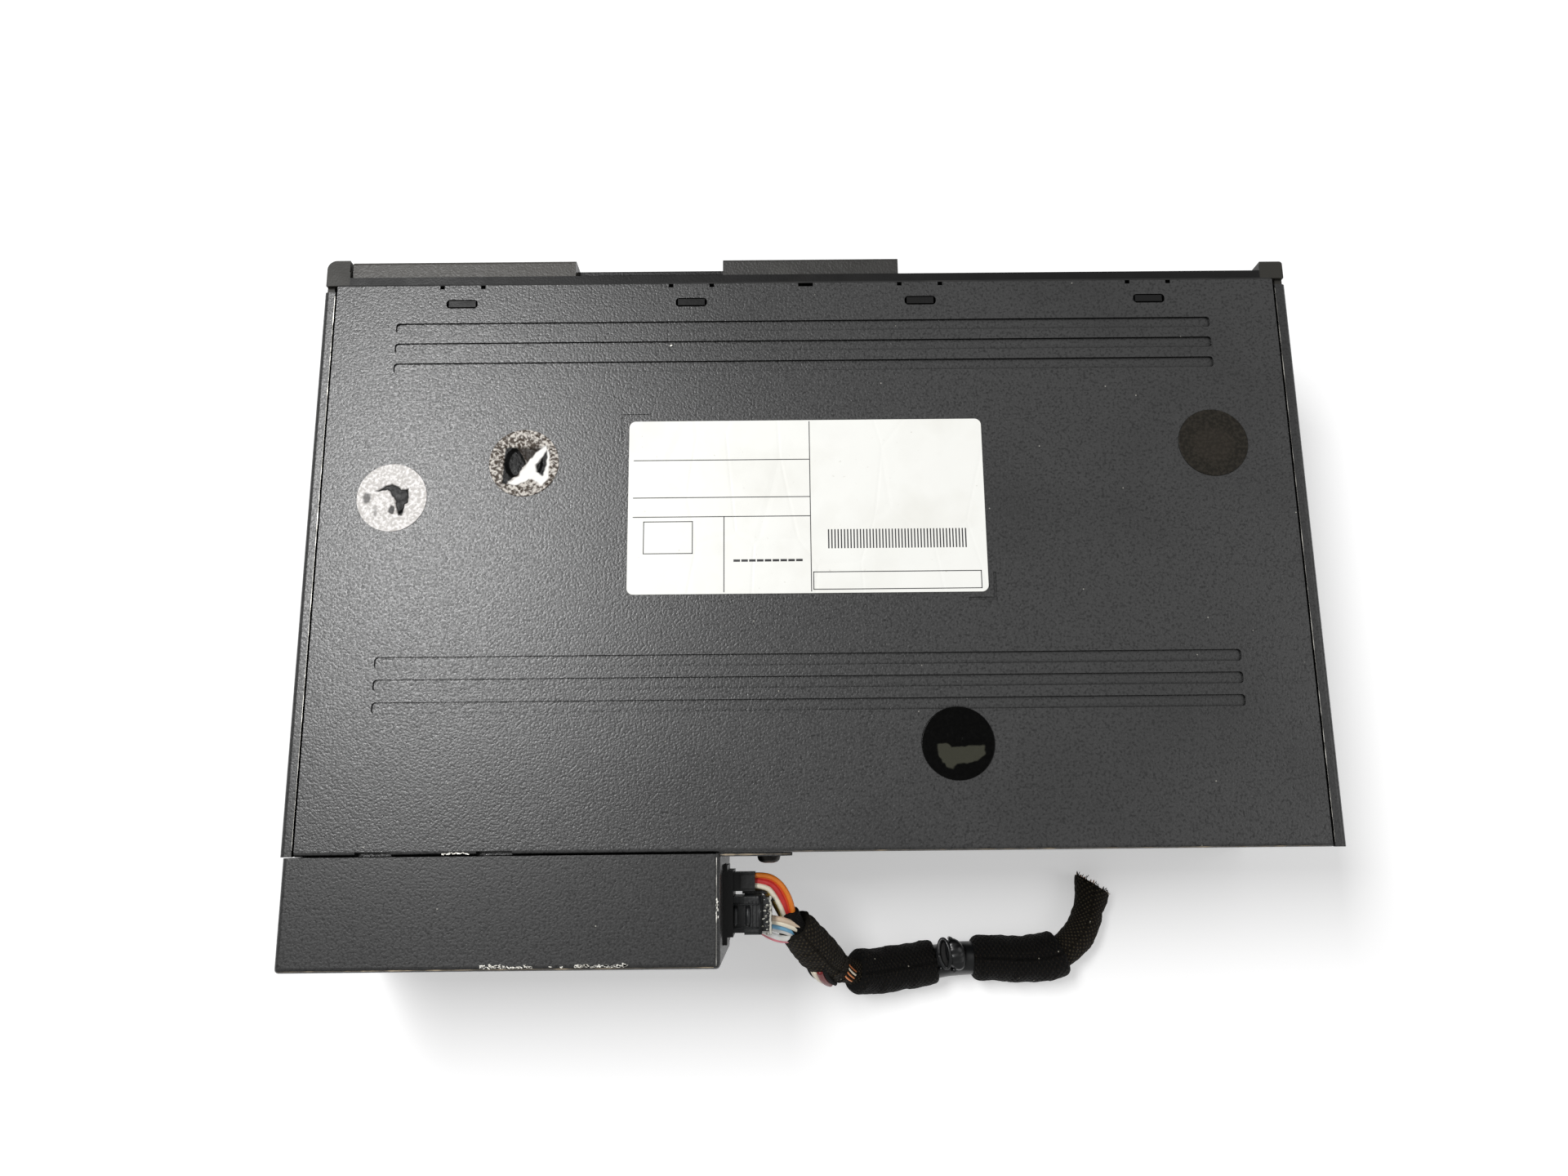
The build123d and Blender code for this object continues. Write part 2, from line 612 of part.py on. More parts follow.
def eject_button():
    xs = (BUTTON_X - BUTTON_W / 2, BUTTON_X + BUTTON_W / 2)
    zs = (BUTTON_Z - BUTTON_H / 2, BUTTON_Z + BUTTON_H / 2)
    cap = block(xs, (BAND_FRONT + 0.1, BEZEL_BACK + 0.4), zs)
    cap = fillet(cap.faces().sort_by(Axis.Y)[0].edges(), 0.5)
    rim_x = (xs[0] - BUTTON_RIM, xs[1] + BUTTON_RIM)
    rim_z = (zs[0] - BUTTON_RIM, zs[1] + BUTTON_RIM)
    rim = block(rim_x, (BEZEL_BACK + 0.3, BEZEL_BACK + 1.2), rim_z)
    stem_end = SWITCH_TIP - BUTTON_CLEAR - BUTTON_TRAVEL
    stem = rod(1.6, (BUTTON_X, BEZEL_BACK, BUTTON_Z), (BUTTON_X, stem_end, BUTTON_Z))
    return cap + rim + stem


def eject_switch_board():
    body_y = SWITCH_TIP + SWITCH_TIP_L
    board_y = body_y + SWITCH_D
    board_x = (BUTTON_X - SWITCH_BOARD_HALF, BUTTON_X + SWITCH_BOARD_HALF)
    board_z = (BUTTON_Z - SWITCH_HALF - 3.0, COVER_Z - BEAD_DEPTH)
    board = block(board_x, (board_y, board_y + BOARD_T), board_z)
    body_x = (BUTTON_X - SWITCH_HALF, BUTTON_X + SWITCH_HALF)
    body_z = (BUTTON_Z - SWITCH_HALF, BUTTON_Z + SWITCH_HALF)
    body = block(body_x, (body_y, board_y), body_z)
    plunger = rod(1.7, (BUTTON_X, body_y, BUTTON_Z), (BUTTON_X, SWITCH_TIP, BUTTON_Z))
    return board + body + plunger


def angle_dial(side):
    wall_in = side * (HALF_W - STEEL)
    face = side * (HALF_W - 0.1)
    back = wall_in - side * 1.4
    dial = rod(DIAL_R, (back, DIAL_Y, DIAL_Z), (face, DIAL_Y, DIAL_Z))
    dial += rod(DIAL_R + DIAL_RIM, (back, DIAL_Y, DIAL_Z), (wall_in - side * 0.3, DIAL_Y, DIAL_Z))
    slot = sorted((face - side * 1.2, face + side))
    dial -= block(slot, (DIAL_Y - 6.0, DIAL_Y + 6.0), (DIAL_Z - 0.9, DIAL_Z + 0.9))
    arrow = sorted((face - side * 0.4, face + side))
    dial -= block(arrow, (DIAL_Y + 6.6, DIAL_Y + 8.2), (DIAL_Z - 0.6, DIAL_Z + 0.6))
    return dial


# ---- magazine and trays ----
def tray(level):
    z = TRAY_Z0 + level * TRAY_PITCH
    plate = prism_z(rounded(2 * TRAY_HALF_W, 2 * TRAY_HALF_D, 3.0, STORED_X, 0), z, z + TRAY_T)
    plate -= prism_z(Pos(STORED_X, 0) * Circle(DISC_R + 0.4), z + TRAY_T - TRAY_SEAT, z + TRAY_T + 1)
    slot_end = STORED_X + TRAY_SLOT_W / 2 + 1
    reach = slot_end - (STORED_X - TRAY_HALF_W) + 20
    slot = Pos(slot_end - reach / 2, 0) * RectangleRounded(reach, TRAY_SLOT_W, TRAY_SLOT_W / 2 - 0.01)
    return plate - prism_z(slot, z - 1, z + TRAY_T + 1)


def disc(level):
    z = TRAY_Z0 + level * TRAY_PITCH + TRAY_T - TRAY_SEAT + DISC_CLEAR
    ring = Circle(DISC_R) - Circle(DISC_HOLE_R)
    return prism_z(Pos(STORED_X, 0) * ring, z, z + DISC_T)


def magazine_case():
    x0, x1 = MAG_X
    case = block(MAG_X, (-MAG_HALF_D, MAG_HALF_D), (MAG_Z0, MAG_Z1))
    case = fillet(case.edges().filter_by(Axis.Z).sort_by(Axis.X)[2:], 2.0)
    hollow_y = (-MAG_HALF_D + MAG_FRONT, MAG_HALF_D - MAG_SKIN)
    case -= block((x0 - 1, x1 - MAG_SIDE), hollow_y, (MAG_Z0 + MAG_SKIN, MAG_Z1 - MAG_SKIN))
    grip_x, grip_z = (x0 + x1) / 2, (MAG_Z0 + MAG_Z1) / 2
    grip = rounded(GRIP_W, GRIP_H, 2.0, grip_x, grip_z)
    case -= prism_y(grip, -MAG_HALF_D - 1, -MAG_HALF_D + GRIP_DEPTH)
    rib_x = (grip_x - GRIP_W / 2 + 3.0, grip_x + GRIP_W / 2 - 3.0)
    rib_y = (-MAG_HALF_D + 0.4, -MAG_HALF_D + GRIP_DEPTH + 0.2)
    for i in (-1, 0, 1):
        rib_z = grip_z + i * GRIP_RIB_PITCH
        case += block(rib_x, rib_y, (rib_z - 0.5, rib_z + 0.5))
    return case


def magazine_guide():
    """Folded sheet: legs to the floor, the shelf, a side wall and a rear stop."""
    top = MAG_Z0 - GUIDE_CLEAR
    z0 = top - GUIDE_T
    outer = HALF_W - STEEL - GUIDE_CLEAR
    side = MAG_X[1] + GUIDE_CLEAR + 0.2
    ys = (-MAG_HALF_D + 2.0, MAG_HALF_D + 2.0)
    guide = block((MAG_X[0] - GUIDE_T, outer), ys, (z0, top))
    guide += block((outer - GUIDE_T, outer), ys, (STEEL, top))
    guide += block((MAG_X[0] - GUIDE_T, MAG_X[0]), ys, (STEEL, top))
    guide += block((side, side + GUIDE_T), ys, (z0, MAG_Z1))
    stop = (MAG_X[0] + 20.0, MAG_X[1] - 20.0)
    guide += block(stop, (ys[1] - GUIDE_T, ys[1]), (z0, MAG_Z0 + 12.0))
    return guide


# ---- lift: chassis plates, cams and drive ----
def chassis_plate(side):
    """The plate behind the bezel (side -1) or at the rear (side 1)."""
    ys = (CHASSIS_IN, CHASSIS_IN + CHASSIS_T)
    plate = block(CHASSIS_X, ys, CHASSIS_Z)
    for x in PIN_X:
        width = 2 * (PIN_R + PIN_CLEAR)
        low, high = PIN_Z - width / 2, PIN_Z + LIFT + width / 2
        slot = rounded(width, high - low, width / 2 - 0.01, x, (low + high) / 2)
        plate -= prism_y(slot, ys[0] - 1, ys[1] + 1)
    for x in DAMPER_X:
        foot_y = (DAMPER_Y - DAMPER_R, CHASSIS_IN + CHASSIS_T)
        foot = block((x - 5, x + 5), foot_y, (CHASSIS_Z[0], CHASSIS_Z[0] + CHASSIS_T))
        plate += foot - rod(1.6, (x, DAMPER_Y, 0), (x, DAMPER_Y, 10))
    return mirrored(plate) if side < 0 else plate


def chassis_rear_plate():
    x, z = LIFT_GEAR_X, LIFT_GEAR_Z
    ear_x = (x - GEARBOX_HALF_W - 2.0, x + GEARBOX_HALF_W + 2.0)
    ear = block(ear_x, (CHASSIS_IN, CHASSIS_IN + CHASSIS_T), (CHASSIS_Z[1] - 1, z + GEARBOX_HALF_H))
    return chassis_plate(1) + ear - rod(3.0, (x, CHASSIS_IN - 1, z), (x, CHASSIS_IN + 2, z))


def dampers():
    """Soft feet under the chassis plates."""
    feet = []
    for x in DAMPER_X:
        for side in (-1, 1):
            y = side * DAMPER_Y
            foot = rod(DAMPER_R, (x, y, STEEL), (x, y, CHASSIS_Z[0]))
            feet.append(foot - rod(1.2, (x, y, STEEL + 0.5), (x, y, CHASSIS_Z[0] + 1)))
    return feet


def chassis_screws():
    screws = []
    for x in DAMPER_X:
        for side in (-1, 1):
            y = side * DAMPER_Y
            seat = CHASSIS_Z[0] + CHASSIS_T
            head = rod(2.4, (x, y, seat), (x, y, seat + 1.2))
            screws.append(head + rod(1.1, (x, y, STEEL + 1.0), (x, y, seat)))
    return screws


def cam_studs():
    studs = []
    for x in STUD_X:
        for side in (-1, 1):
            start = side * (CHASSIS_IN + CHASSIS_T)
            mid = side * (CAM_OUT + CAM_T + 0.3)
            end = mid + side * STUD_HEAD_T
            shank = rod(STUD_R, (x, start, STUD_Z), (x, mid, STUD_Z))
            studs.append(shank + rod(STUD_HEAD_R, (x, mid, STUD_Z), (x, end, STUD_Z)))
    return studs


def cam_plate():
    ys = (CAM_OUT, CAM_OUT + CAM_T)
    plate = block(CAM_X, ys, CAM_Z)
    ramp_l = math.hypot(CAM_TRAVEL, LIFT)
    ramp_a = math.degrees(math.atan2(LIFT, CAM_TRAVEL))
    for x in PIN_X:
        width = 2 * (PIN_R + PIN_CLEAR)
        middle = Pos(x + CAM_TRAVEL / 2, PIN_Z + LIFT / 2) * Rot(0, 0, ramp_a)
        plate -= prism_y(middle * SlotCenterToCenter(ramp_l, width), ys[0] - 1, ys[1] + 1)
    for x in STUD_X:
        middle = Pos(x + CAM_TRAVEL / 2, STUD_Z)
        slot = SlotCenterToCenter(CAM_TRAVEL, 2 * (STUD_R + PIN_CLEAR))
        plate -= prism_y(middle * slot, ys[0] - 1, ys[1] + 1)
    return plate


def lift_cam_front():
    return mirrored(cam_plate())


def lift_cam_rear():
    pitch_z = LIFT_GEAR_Z - RACK_MODULE * LIFT_TEETH / 2
    phase = LIFT_GEAR_X + math.pi * RACK_MODULE / 2
    depth = 1.2 * RACK_MODULE + 1.0
    teeth = rack_outline(RACK_MODULE, *LIFT_RACK_X, phase, RACK_BACKLASH, depth)
    return cam_plate() + prism_y(Pos(0, pitch_z) * teeth, CAM_OUT, CAM_OUT + CAM_T)


def lift_gear():
    x, z = LIFT_GEAR_X, LIFT_GEAR_Z
    wheel = Rot(0, 0, -90) * gear_outline(RACK_MODULE, LIFT_TEETH, RACK_BACKLASH)
    gear = prism_y(Pos(x, z) * wheel, CAM_OUT, CAM_OUT + CAM_T)
    return gear + rod(LIFT_SHAFT_R, (x, CHASSIS_IN - 6, z), (x, CAM_OUT + CAM_T, z))


def lift_gearmotor():
    x, z = LIFT_GEAR_X, LIFT_GEAR_Z
    back = CHASSIS_IN - GEARBOX_D
    box_x = (x - GEARBOX_HALF_W, x + GEARBOX_HALF_W)
    box = block(box_x, (back, CHASSIS_IN), (z - GEARBOX_HALF_H, z + GEARBOX_HALF_H))
    box -= rod(LIFT_SHAFT_R + RUN_FIT, (x, CHASSIS_IN - 6.3, z), (x, CHASSIS_IN + 1, z))
    return box + rod(LIFT_MOTOR_R, (x, back - LIFT_MOTOR_L, z), (x, back, z))


# ---- play deck ----
def deck_plate():
    plate = block(DECK_X, (-DECK_HALF_D, DECK_HALF_D), (DECK_Z, DECK_Z + DECK_T))
    inner = DECK_HALF_D - DECK_FLANGE_T
    for side in (-1, 1):
        ys = sorted((side * inner, side * DECK_HALF_D))
        plate += block(DECK_X, ys, (DECK_Z, DECK_FLANGE_TOP))
    arm_y, arm_z = ARM_PIVOT
    tower = (ARM_X[0] - EAR_GAP - EAR_WALL, ARM_X[1] + EAR_GAP + EAR_WALL)
    plate += block(tower, (inner, DECK_HALF_D), (DECK_Z, arm_z + 3))
    for x in tower:
        ear = sorted((x, x + (EAR_WALL if x == tower[0] else -EAR_WALL)))
        plate += block(ear, (arm_y - 3, DECK_HALF_D), (arm_z - 3, arm_z + 3))
        plate -= rod(SHAFT_R, (ear[0] - 1, arm_y, arm_z), (ear[1] + 1, arm_y, arm_z))
    window = (ROD_Y[0], ROD_Y[1] - 0.5)
    plate -= block((PLAY_X - 10.5, PLAY_X + 10.5), window, (DECK_Z - 1, DECK_Z + 2))
    plate -= rod(5.0, (PLAY_X, 0, DECK_Z - 1), (PLAY_X, 0, DECK_Z + 2))
    low, high = (SLED_MOTOR_X, SLED_GEAR_Y, DECK_Z - 1), (SLED_MOTOR_X, SLED_GEAR_Y, DECK_Z + 2)
    plate -= rod(3.4, low, high)
    for x in (PLAY_X - 46.0, PLAY_X + 24.0):
        cut = rounded(14.0, 56.0, 3.0, x, 24.0)
        plate -= prism_z(cut, DECK_Z - 1, DECK_Z + 2)
    return plate


def deck_lift_pins():
    """Four pins that the two cams raise."""
    pins = []
    for x in PIN_X:
        for side in (-1, 1):
            start = side * DECK_HALF_D
            end = side * (CAM_OUT + CAM_T + 0.8)
            pins.append(rod(PIN_R, (x, start, PIN_Z), (x, end, PIN_Z)))
    return pins


def spindle_motor():
    can = rod(MOTOR_R, (PLAY_X, 0, MOTOR_Z), (PLAY_X, 0, DECK_Z))
    can = fillet(can.edges().filter_by(GeomType.CIRCLE).sort_by(Axis.Z)[0], 1.5)
    boss = rod(4.0, (PLAY_X, 0, DECK_Z), (PLAY_X, 0, DECK_Z + 1.2))
    return can + boss - rod(SHAFT_R + RUN_FIT, (PLAY_X, 0, MOTOR_Z + 3), (PLAY_X, 0, DECK_Z + 3))


def turntable():
    profile = outline([
        (0, MOTOR_Z + 3.3),
        (SHAFT_R, MOTOR_Z + 3.3),
        (SHAFT_R, TABLE_Z[0]),
        (TABLE_R, TABLE_Z[0]),
        (TABLE_R, TABLE_Z[1]),
        (7.2, TABLE_Z[1]),
        (5.4, CONE_TOP),
        (0, CONE_TOP),
    ])
    return Pos(PLAY_X, 0, 0) * revolve(Plane.XZ * profile, Axis.Z)


def guide_rods():
    rods = []
    for x in (PLAY_X - ROD_X, PLAY_X + ROD_X):
        rods.append(rod(SHAFT_R, (x, ROD_Y[0], ROD_Z), (x, ROD_Y[1], ROD_Z)))
    return rods


def rod_holders():
    holders = []
    front, rear = ROD_Y
    for x in (PLAY_X - ROD_X, PLAY_X + ROD_X):
        for ys in ((front - 0.4, front + 0.9), (rear - 2.0, rear + 0.6)):
            body = block((x - 2.4, x + 2.4), ys, (ROD_Z - 2.0, DECK_Z))
            holders.append(body - rod(SHAFT_R, (x, front, ROD_Z), (x, rear, ROD_Z)))
    return holders


def optical_pickup():
    lens_y = -LENS_IN
    ys = (lens_y - 3.4, lens_y + 8.0)
    sled_x = (PLAY_X - SLED_HALF_W, PLAY_X + SLED_HALF_W)
    sled = block(sled_x, ys, (ROD_Z - 2.2, ROD_Z + 2.2))
    sled = fillet(sled.edges().filter_by(Axis.Z), 1.0)
    turret = block((PLAY_X - 8.0, PLAY_X + 8.0), (lens_y - 3.4, lens_y + 6.0), (ROD_Z, LENS_Z[0]))
    sled += fillet(turret.edges().filter_by(Axis.Z), 1.5)
    for s in (-1, 1):
        x = PLAY_X + s * ROD_X
        sled -= rod(SHAFT_R + RUN_FIT, (x, ys[0] - 1, ROD_Z), (x, ys[1] + 1, ROD_Z))
    return sled


def pickup_lens():
    lens = rod(2.6, (PLAY_X, -LENS_IN, LENS_Z[0]), (PLAY_X, -LENS_IN, LENS_Z[1]))
    return fillet(lens.edges().filter_by(GeomType.CIRCLE).sort_by(Axis.Z)[-1], 0.9)


def sled_rack():
    """Toothed bar on the pickup's side, with its teeth towards the drive gear."""
    depth = 1.2 * SLED_MODULE + 1.4
    start, end = -LENS_IN - 3.4, SLED_GEAR_Y + SLED_TRAVEL + 4.0
    phase = SLED_GEAR_Y + math.pi * SLED_MODULE / 2
    teeth = rack_outline(SLED_MODULE, start, end, phase, SLED_BACKLASH, depth)
    bar = Pos(SLED_RACK_X, 0) * Rot(0, 0, 90) * teeth
    rack = prism_z(bar, *GEAR_Z)
    neck = (SLED_RACK_X + depth - 0.2, PLAY_X - SLED_HALF_W)
    return rack + block(neck, (start, -LENS_IN + 8.0), GEAR_Z)


def sled_drive_gear():
    x = SLED_GEAR_X
    wheel = gear_outline(SLED_MODULE, SLED_TEETH, SLED_BACKLASH)
    gear = prism_z(Pos(x, SLED_GEAR_Y) * wheel, *GEAR_Z)
    hub = rod(2.6, (x, SLED_GEAR_Y, GEAR_Z[1]), (x, SLED_GEAR_Y, DECK_Z - 0.3))
    return gear + hub - rod(SHAFT_R + RUN_FIT, (x, SLED_GEAR_Y, 0), (x, SLED_GEAR_Y, 20))


def sled_gear_stud():
    x = SLED_GEAR_X
    shank = rod(SHAFT_R, (x, SLED_GEAR_Y, GEAR_Z[0] - 0.3), (x, SLED_GEAR_Y, DECK_Z))
    return shank + rod(2.0, (x, SLED_GEAR_Y, GEAR_Z[0] - 1.1), (x, SLED_GEAR_Y, GEAR_Z[0] - 0.3))


def sled_motor_pinion():
    x, y = SLED_MOTOR_X, SLED_GEAR_Y
    wheel = Rot(0, 0, 180 / MOTOR_TEETH) * gear_outline(SLED_MODULE, MOTOR_TEETH, SLED_BACKLASH)
    gear = prism_z(Pos(x, y) * wheel, *GEAR_Z)
    return gear + rod(PINION_SHAFT_R, (x, y, GEAR_Z[1]), (x, y, DECK_Z + DECK_T + 2))


def sled_motor():
    x, y = SLED_MOTOR_X, SLED_GEAR_Y
    z = DECK_Z + DECK_T
    can = rod(SLED_MOTOR_R, (x, y, z), (x, y, z + SLED_MOTOR_H))
    can = fillet(can.edges().filter_by(GeomType.CIRCLE).sort_by(Axis.Z)[-1], 1.0)
    return can - rod(PINION_SHAFT_R + RUN_FIT, (x, y, z - 1), (x, y, z + 2.3))


def clamp_arm():
    y, z = ARM_PIVOT
    under = z - ARM_DROP
    arm = block(ARM_X, (0, y), (under, under + ARM_T))
    arm += prism_z(Pos(PLAY_X, 0) * Circle(CLAMPER_R + 0.5), under, under + ARM_T)
    arm += rod(2.0, (ARM_X[0], y, z), (ARM_X[1], y, z))
    for x in ARM_X:
        rib = sorted((x, x + (ARM_T if x == ARM_X[0] else -ARM_T)))
        arm += block(rib, (8.0, y), (under, z + 1.4))
    arm -= rod(SHAFT_R + RUN_FIT, (ARM_X[0] - 1, y, z), (ARM_X[1] + 1, y, z))
    return arm - rod(4.0, (PLAY_X, 0, z - 3), (PLAY_X, 0, z + 3))


def clamp_arm_pin():
    y, z = ARM_PIVOT
    reach = EAR_GAP + EAR_WALL + 0.6
    return rod(SHAFT_R, (ARM_X[0] - reach, y, z), (ARM_X[1] + reach, y, z))


def clamper():
    z = ARM_PIVOT[1] - ARM_DROP
    profile = outline([
        (0, z - 2.5),
        (5.0, z - 2.5),
        (6.5, z - 2.9),
        (CLAMPER_R, z - 2.9),
        (CLAMPER_R, z - 1.2),
        (3.4, z - 0.9),
        (3.4, z + ARM_T + 0.3),
        (5.6, z + ARM_T + 0.3),
        (5.6, z + ARM_T + 1.2),
        (0, z + ARM_T + 1.2),
    ])
    return Pos(PLAY_X, 0, 0) * revolve(Plane.XZ * profile, Axis.Z)


# ---- boards ----
def board_holes():
    xs = (BOARD_X[0] + BOARD_HOLE_IN, BOARD_X[1] - BOARD_HOLE_IN)
    ys = (BOARD_Y[0] + BOARD_HOLE_IN, BOARD_Y[1] - BOARD_HOLE_IN)
    return [(x, y) for x in xs for y in ys]


def main_board():
    board = block(BOARD_X, BOARD_Y, (BOARD_Z, BOARD_Z + BOARD_T))
    for x, y in board_holes():
        board -= rod(1.6, (x, y, BOARD_Z - 1), (x, y, BOARD_Z + 3))
    return board


def board_hangers():
    """Spacers that hold the board under the cover, with their screws."""
    hangers = []
    for x, y in board_holes():
        post = rod(2.6, (x, y, BOARD_Z + BOARD_T), (x, y, COVER_Z))
        post += rod(1.3, (x, y, BOARD_Z), (x, y, BOARD_Z + BOARD_T))
        hangers.append(post + rod(2.4, (x, y, BOARD_Z - 1.2), (x, y, BOARD_Z)))
    return hangers


def board_components():
    x0, y0, z = BOARD_X[0], BOARD_Y[0], BOARD_Z + BOARD_T
    parts = []
    for x, y, w, d in CHIPS:
        parts.append(Pos(x0 + x, y0 + y, z + CHIP_T / 2) * Box(w, d, CHIP_T))
    for x, y in CAPACITORS:
        parts.append(rod(CAPACITOR_R, (x0 + x, y0 + y, z), (x0 + x, y0 + y, z + CAPACITOR_H)))
    return parts


# ---- connector box, plugs and wires ----
def connector_cover():
    box = block(BOX_X, BOX_Y, (BOX_Z0, BODY_H))
    corners = box.edges().filter_by(Axis.Z).sort_by(Axis.Y)[2:]
    box = fillet(corners, 1.0)
    box = fillet(box.edges().filter_by(Axis.X).sort_by(Axis.Y)[-2:].sort_by(Axis.Z)[-1], BEND_R)
    inner_x = (BOX_X[0] + STEEL, BOX_X[1] - STEEL)
    box -= block(inner_x, (BOX_Y[0] - 1, BOX_Y[1] - STEEL), (BOX_Z0 + STEEL, BODY_H - STEEL))
    gate_y = (SOCKET_Y[0] - 0.2, SOCKET_Y[1] + 0.2)
    gate_z = (SOCKET_Z[0] - 0.2, SOCKET_Z[1] + 0.2)
    box -= block((BOX_X[0] - 1, BOX_X[0] + 2 * STEEL), gate_y, gate_z)
    ear = outline([
        (EAR_X + EAR_CORNER, EAR_Z[1]),
        (EAR_X, EAR_Z[1] - EAR_CORNER),
        (EAR_X, EAR_Z[0] + EAR_CORNER),
        (EAR_X + EAR_CORNER, EAR_Z[0]),
        (BOX_X[0] + 1, EAR_Z[0]),
        (BOX_X[0] + 1, EAR_Z[1]),
    ])
    return box + prism_y(ear, HALF_D, HALF_D + EAR_T)


def connector_board():
    board_x = (BOX_X[0] + 2.4, BOX_X[1] - 4)
    board_y = (BOX_Y[0] + 1, BOX_Y[1] - 2)
    return block(board_x, board_y, (SOCKET_Z[0] - BOARD_T, SOCKET_Z[0]))


def connector_posts():
    posts = []
    for x in (BOX_X[0] + 8, BOX_X[1] - 10):
        for y in (BOX_Y[0] + 5, BOX_Y[1] - 6):
            posts.append(rod(2.6, (x, y, BOX_Z0 + STEEL), (x, y, SOCKET_Z[0] - BOARD_T)))
    return posts


def harness_socket():
    """Stepped socket block with one cavity for each plug."""
    socket = block((SOCKET_FACE, BOX_X[0] + 12.4), SOCKET_Y, SOCKET_Z)
    step_x = (SOCKET_FACE - 1, SOCKET_FACE + SOCKET_STEP)
    step_z = (SOCKET_Z[0] - 1, SOCKET_Z[1] + 1)
    for step_y in ((SOCKET_Y[0] - 1, SOCKET_Y[0] + 1.2), (SOCKET_Y[1] - 1.8, SOCKET_Y[1] + 1)):
        socket -= block(step_x, step_y, step_z)
    for ys, zs in ((BIG_PLUG_Y, BIG_PLUG_Z), (SMALL_PLUG_Y, SMALL_PLUG_Z)):
        hole_y = (ys[0] - PLUG_CLEAR, ys[1] + PLUG_CLEAR)
        hole_z = (zs[0] - PLUG_CLEAR, zs[1] + PLUG_CLEAR)
        socket -= block((SOCKET_FACE - 1, SOCKET_FACE + SOCKET_DEPTH), hole_y, hole_z)
    return socket


def large_plug():
    y0, y1 = BIG_PLUG_Y
    z0, z1 = BIG_PLUG_Z
    grip_x = (BIG_PLUG_END + 2.4, SOCKET_FACE - 2.6)
    nose_x = (grip_x[1] - 0.2, SOCKET_FACE + SOCKET_DEPTH - PLUG_SHORT)
    grip = block(grip_x, (y0 - 0.5, y1 + 0.5), (z0 - 0.5, z1 + 0.5))
    grip = fillet(grip.edges().filter_by(Axis.X), 0.8)
    tail = block((BIG_PLUG_END, grip_x[0] + 0.2), (y0 + 0.2, y1 - 0.3), (z0 + 0.6, z1 - 0.6))
    plug = block(nose_x, BIG_PLUG_Y, BIG_PLUG_Z) + grip + tail
    for i in range(4):
        x = grip_x[0] + 0.5 + i * 0.9
        plug += block((x, x + 0.45), (y0 + 1.0, y1 - 1.0), (z1 + 0.3, z1 + 0.9))
    return plug


def large_plug_latch():
    """Spring tab along the plug's side."""
    y = BIG_PLUG_Y[0] - 0.5
    z = (BIG_PLUG_Z[0] + BIG_PLUG_Z[1]) / 2
    x = BIG_PLUG_END - 1.0
    tab = block((x, SOCKET_FACE - 2.0), (y - 0.7, y), (z - 2.2, z + 2.2))
    return tab + block((x, x + 0.9), (y - 0.7, y + 1.6), (z + 1.0, z + 4.0))


def small_plug():
    y0, y1 = SMALL_PLUG_Y
    tip = SOCKET_FACE + SOCKET_DEPTH - PLUG_SHORT
    plug = block((SMALL_PLUG_END, tip), SMALL_PLUG_Y, SMALL_PLUG_Z)
    key = (SMALL_PLUG_END, SOCKET_FACE - 1.8)
    return plug + block(key, (y0 + 0.6, y1 - 0.6), (SMALL_PLUG_Z[1], SMALL_PLUG_Z[1] + 0.8))


def smooth_path(route, label):
    """Straight runs joined by arcs as large as the runs allow. Prints the arcs' radii."""
    points = [Vector(*p) for p in route]
    runs = [(b - a) for a, b in zip(points, points[1:])]
    radii = []
    for first, second in zip(runs, runs[1:]):
        half_turn = math.radians(first.get_angle(second)) / 2
        radii.append(0.45 * min(first.length, second.length) / math.tan(half_turn))
    if label:
        print(label, "radii", " ".join(f"{r:.1f}" for r in radii))
    return FilletPolyline(*points, radius=radii)


def tube(path, section):
    """The section swept along a path, square to its start."""
    edges = path.edges()
    start = Plane(origin=edges[0] @ 0, z_dir=edges[0] % 0)
    return sweep(start * section, path=path)


def harness_bundle():
    path = smooth_path(CORD_ROUTE, "harness")
    solid = tube(path, Circle(CORD_D / 2))
    expected = math.pi * CORD_D ** 2 / 4 * path.length
    print(f"harness length {path.length:.1f} volume {solid.volume:.0f} of {expected:.0f}")
    return solid


def sleeve(first, last):
    """A taped sleeve round the bundle, along part of the same route."""
    edges = smooth_path(CORD_ROUTE, None).edges()[first:last]
    return tube(Wire(edges), Circle(WRAP_D / 2) - Circle(CORD_D / 2 + WRAP_CLEAR))


def harness_clip():
    """A split collar on the bundle with a round button head on top."""
    edge = smooth_path(CORD_ROUTE, None).edges()[CLIP_ON].trim(0.1, 0.9)
    ring = Circle(CORD_D / 2 + 1.5) - Circle(CORD_D / 2 + WRAP_CLEAR)
    seat = edge @ 0.5 + Vector(0, -1.2, CORD_D / 2 + 0.6)
    return tube(Wire([edge]), ring) + rod(4.4, seat, seat + Vector(0, 0, 2.8))


def plug_wires(starts, label):
    """Wires that leave a plug straight, and enter the bundle's end side by side."""
    first, second = Vector(*CORD_ROUTE[0]), Vector(*CORD_ROUTE[1])
    end = Plane(origin=first, z_dir=first - second)
    wires = []
    for start, middles, angle in starts:
        x, y, z = start
        a = math.radians(angle)
        slot = (WIRE_RING * math.cos(a), WIRE_RING * math.sin(a))
        route = [start, (x - WIRE_LEAD, y, z)] + middles
        route += [tuple(end.from_local_coords(Vector(*slot, h))) for h in (2.4, 0.1)]
        wires.append(tube(smooth_path(route, label), Circle(WIRE_D / 2)))
    return wires


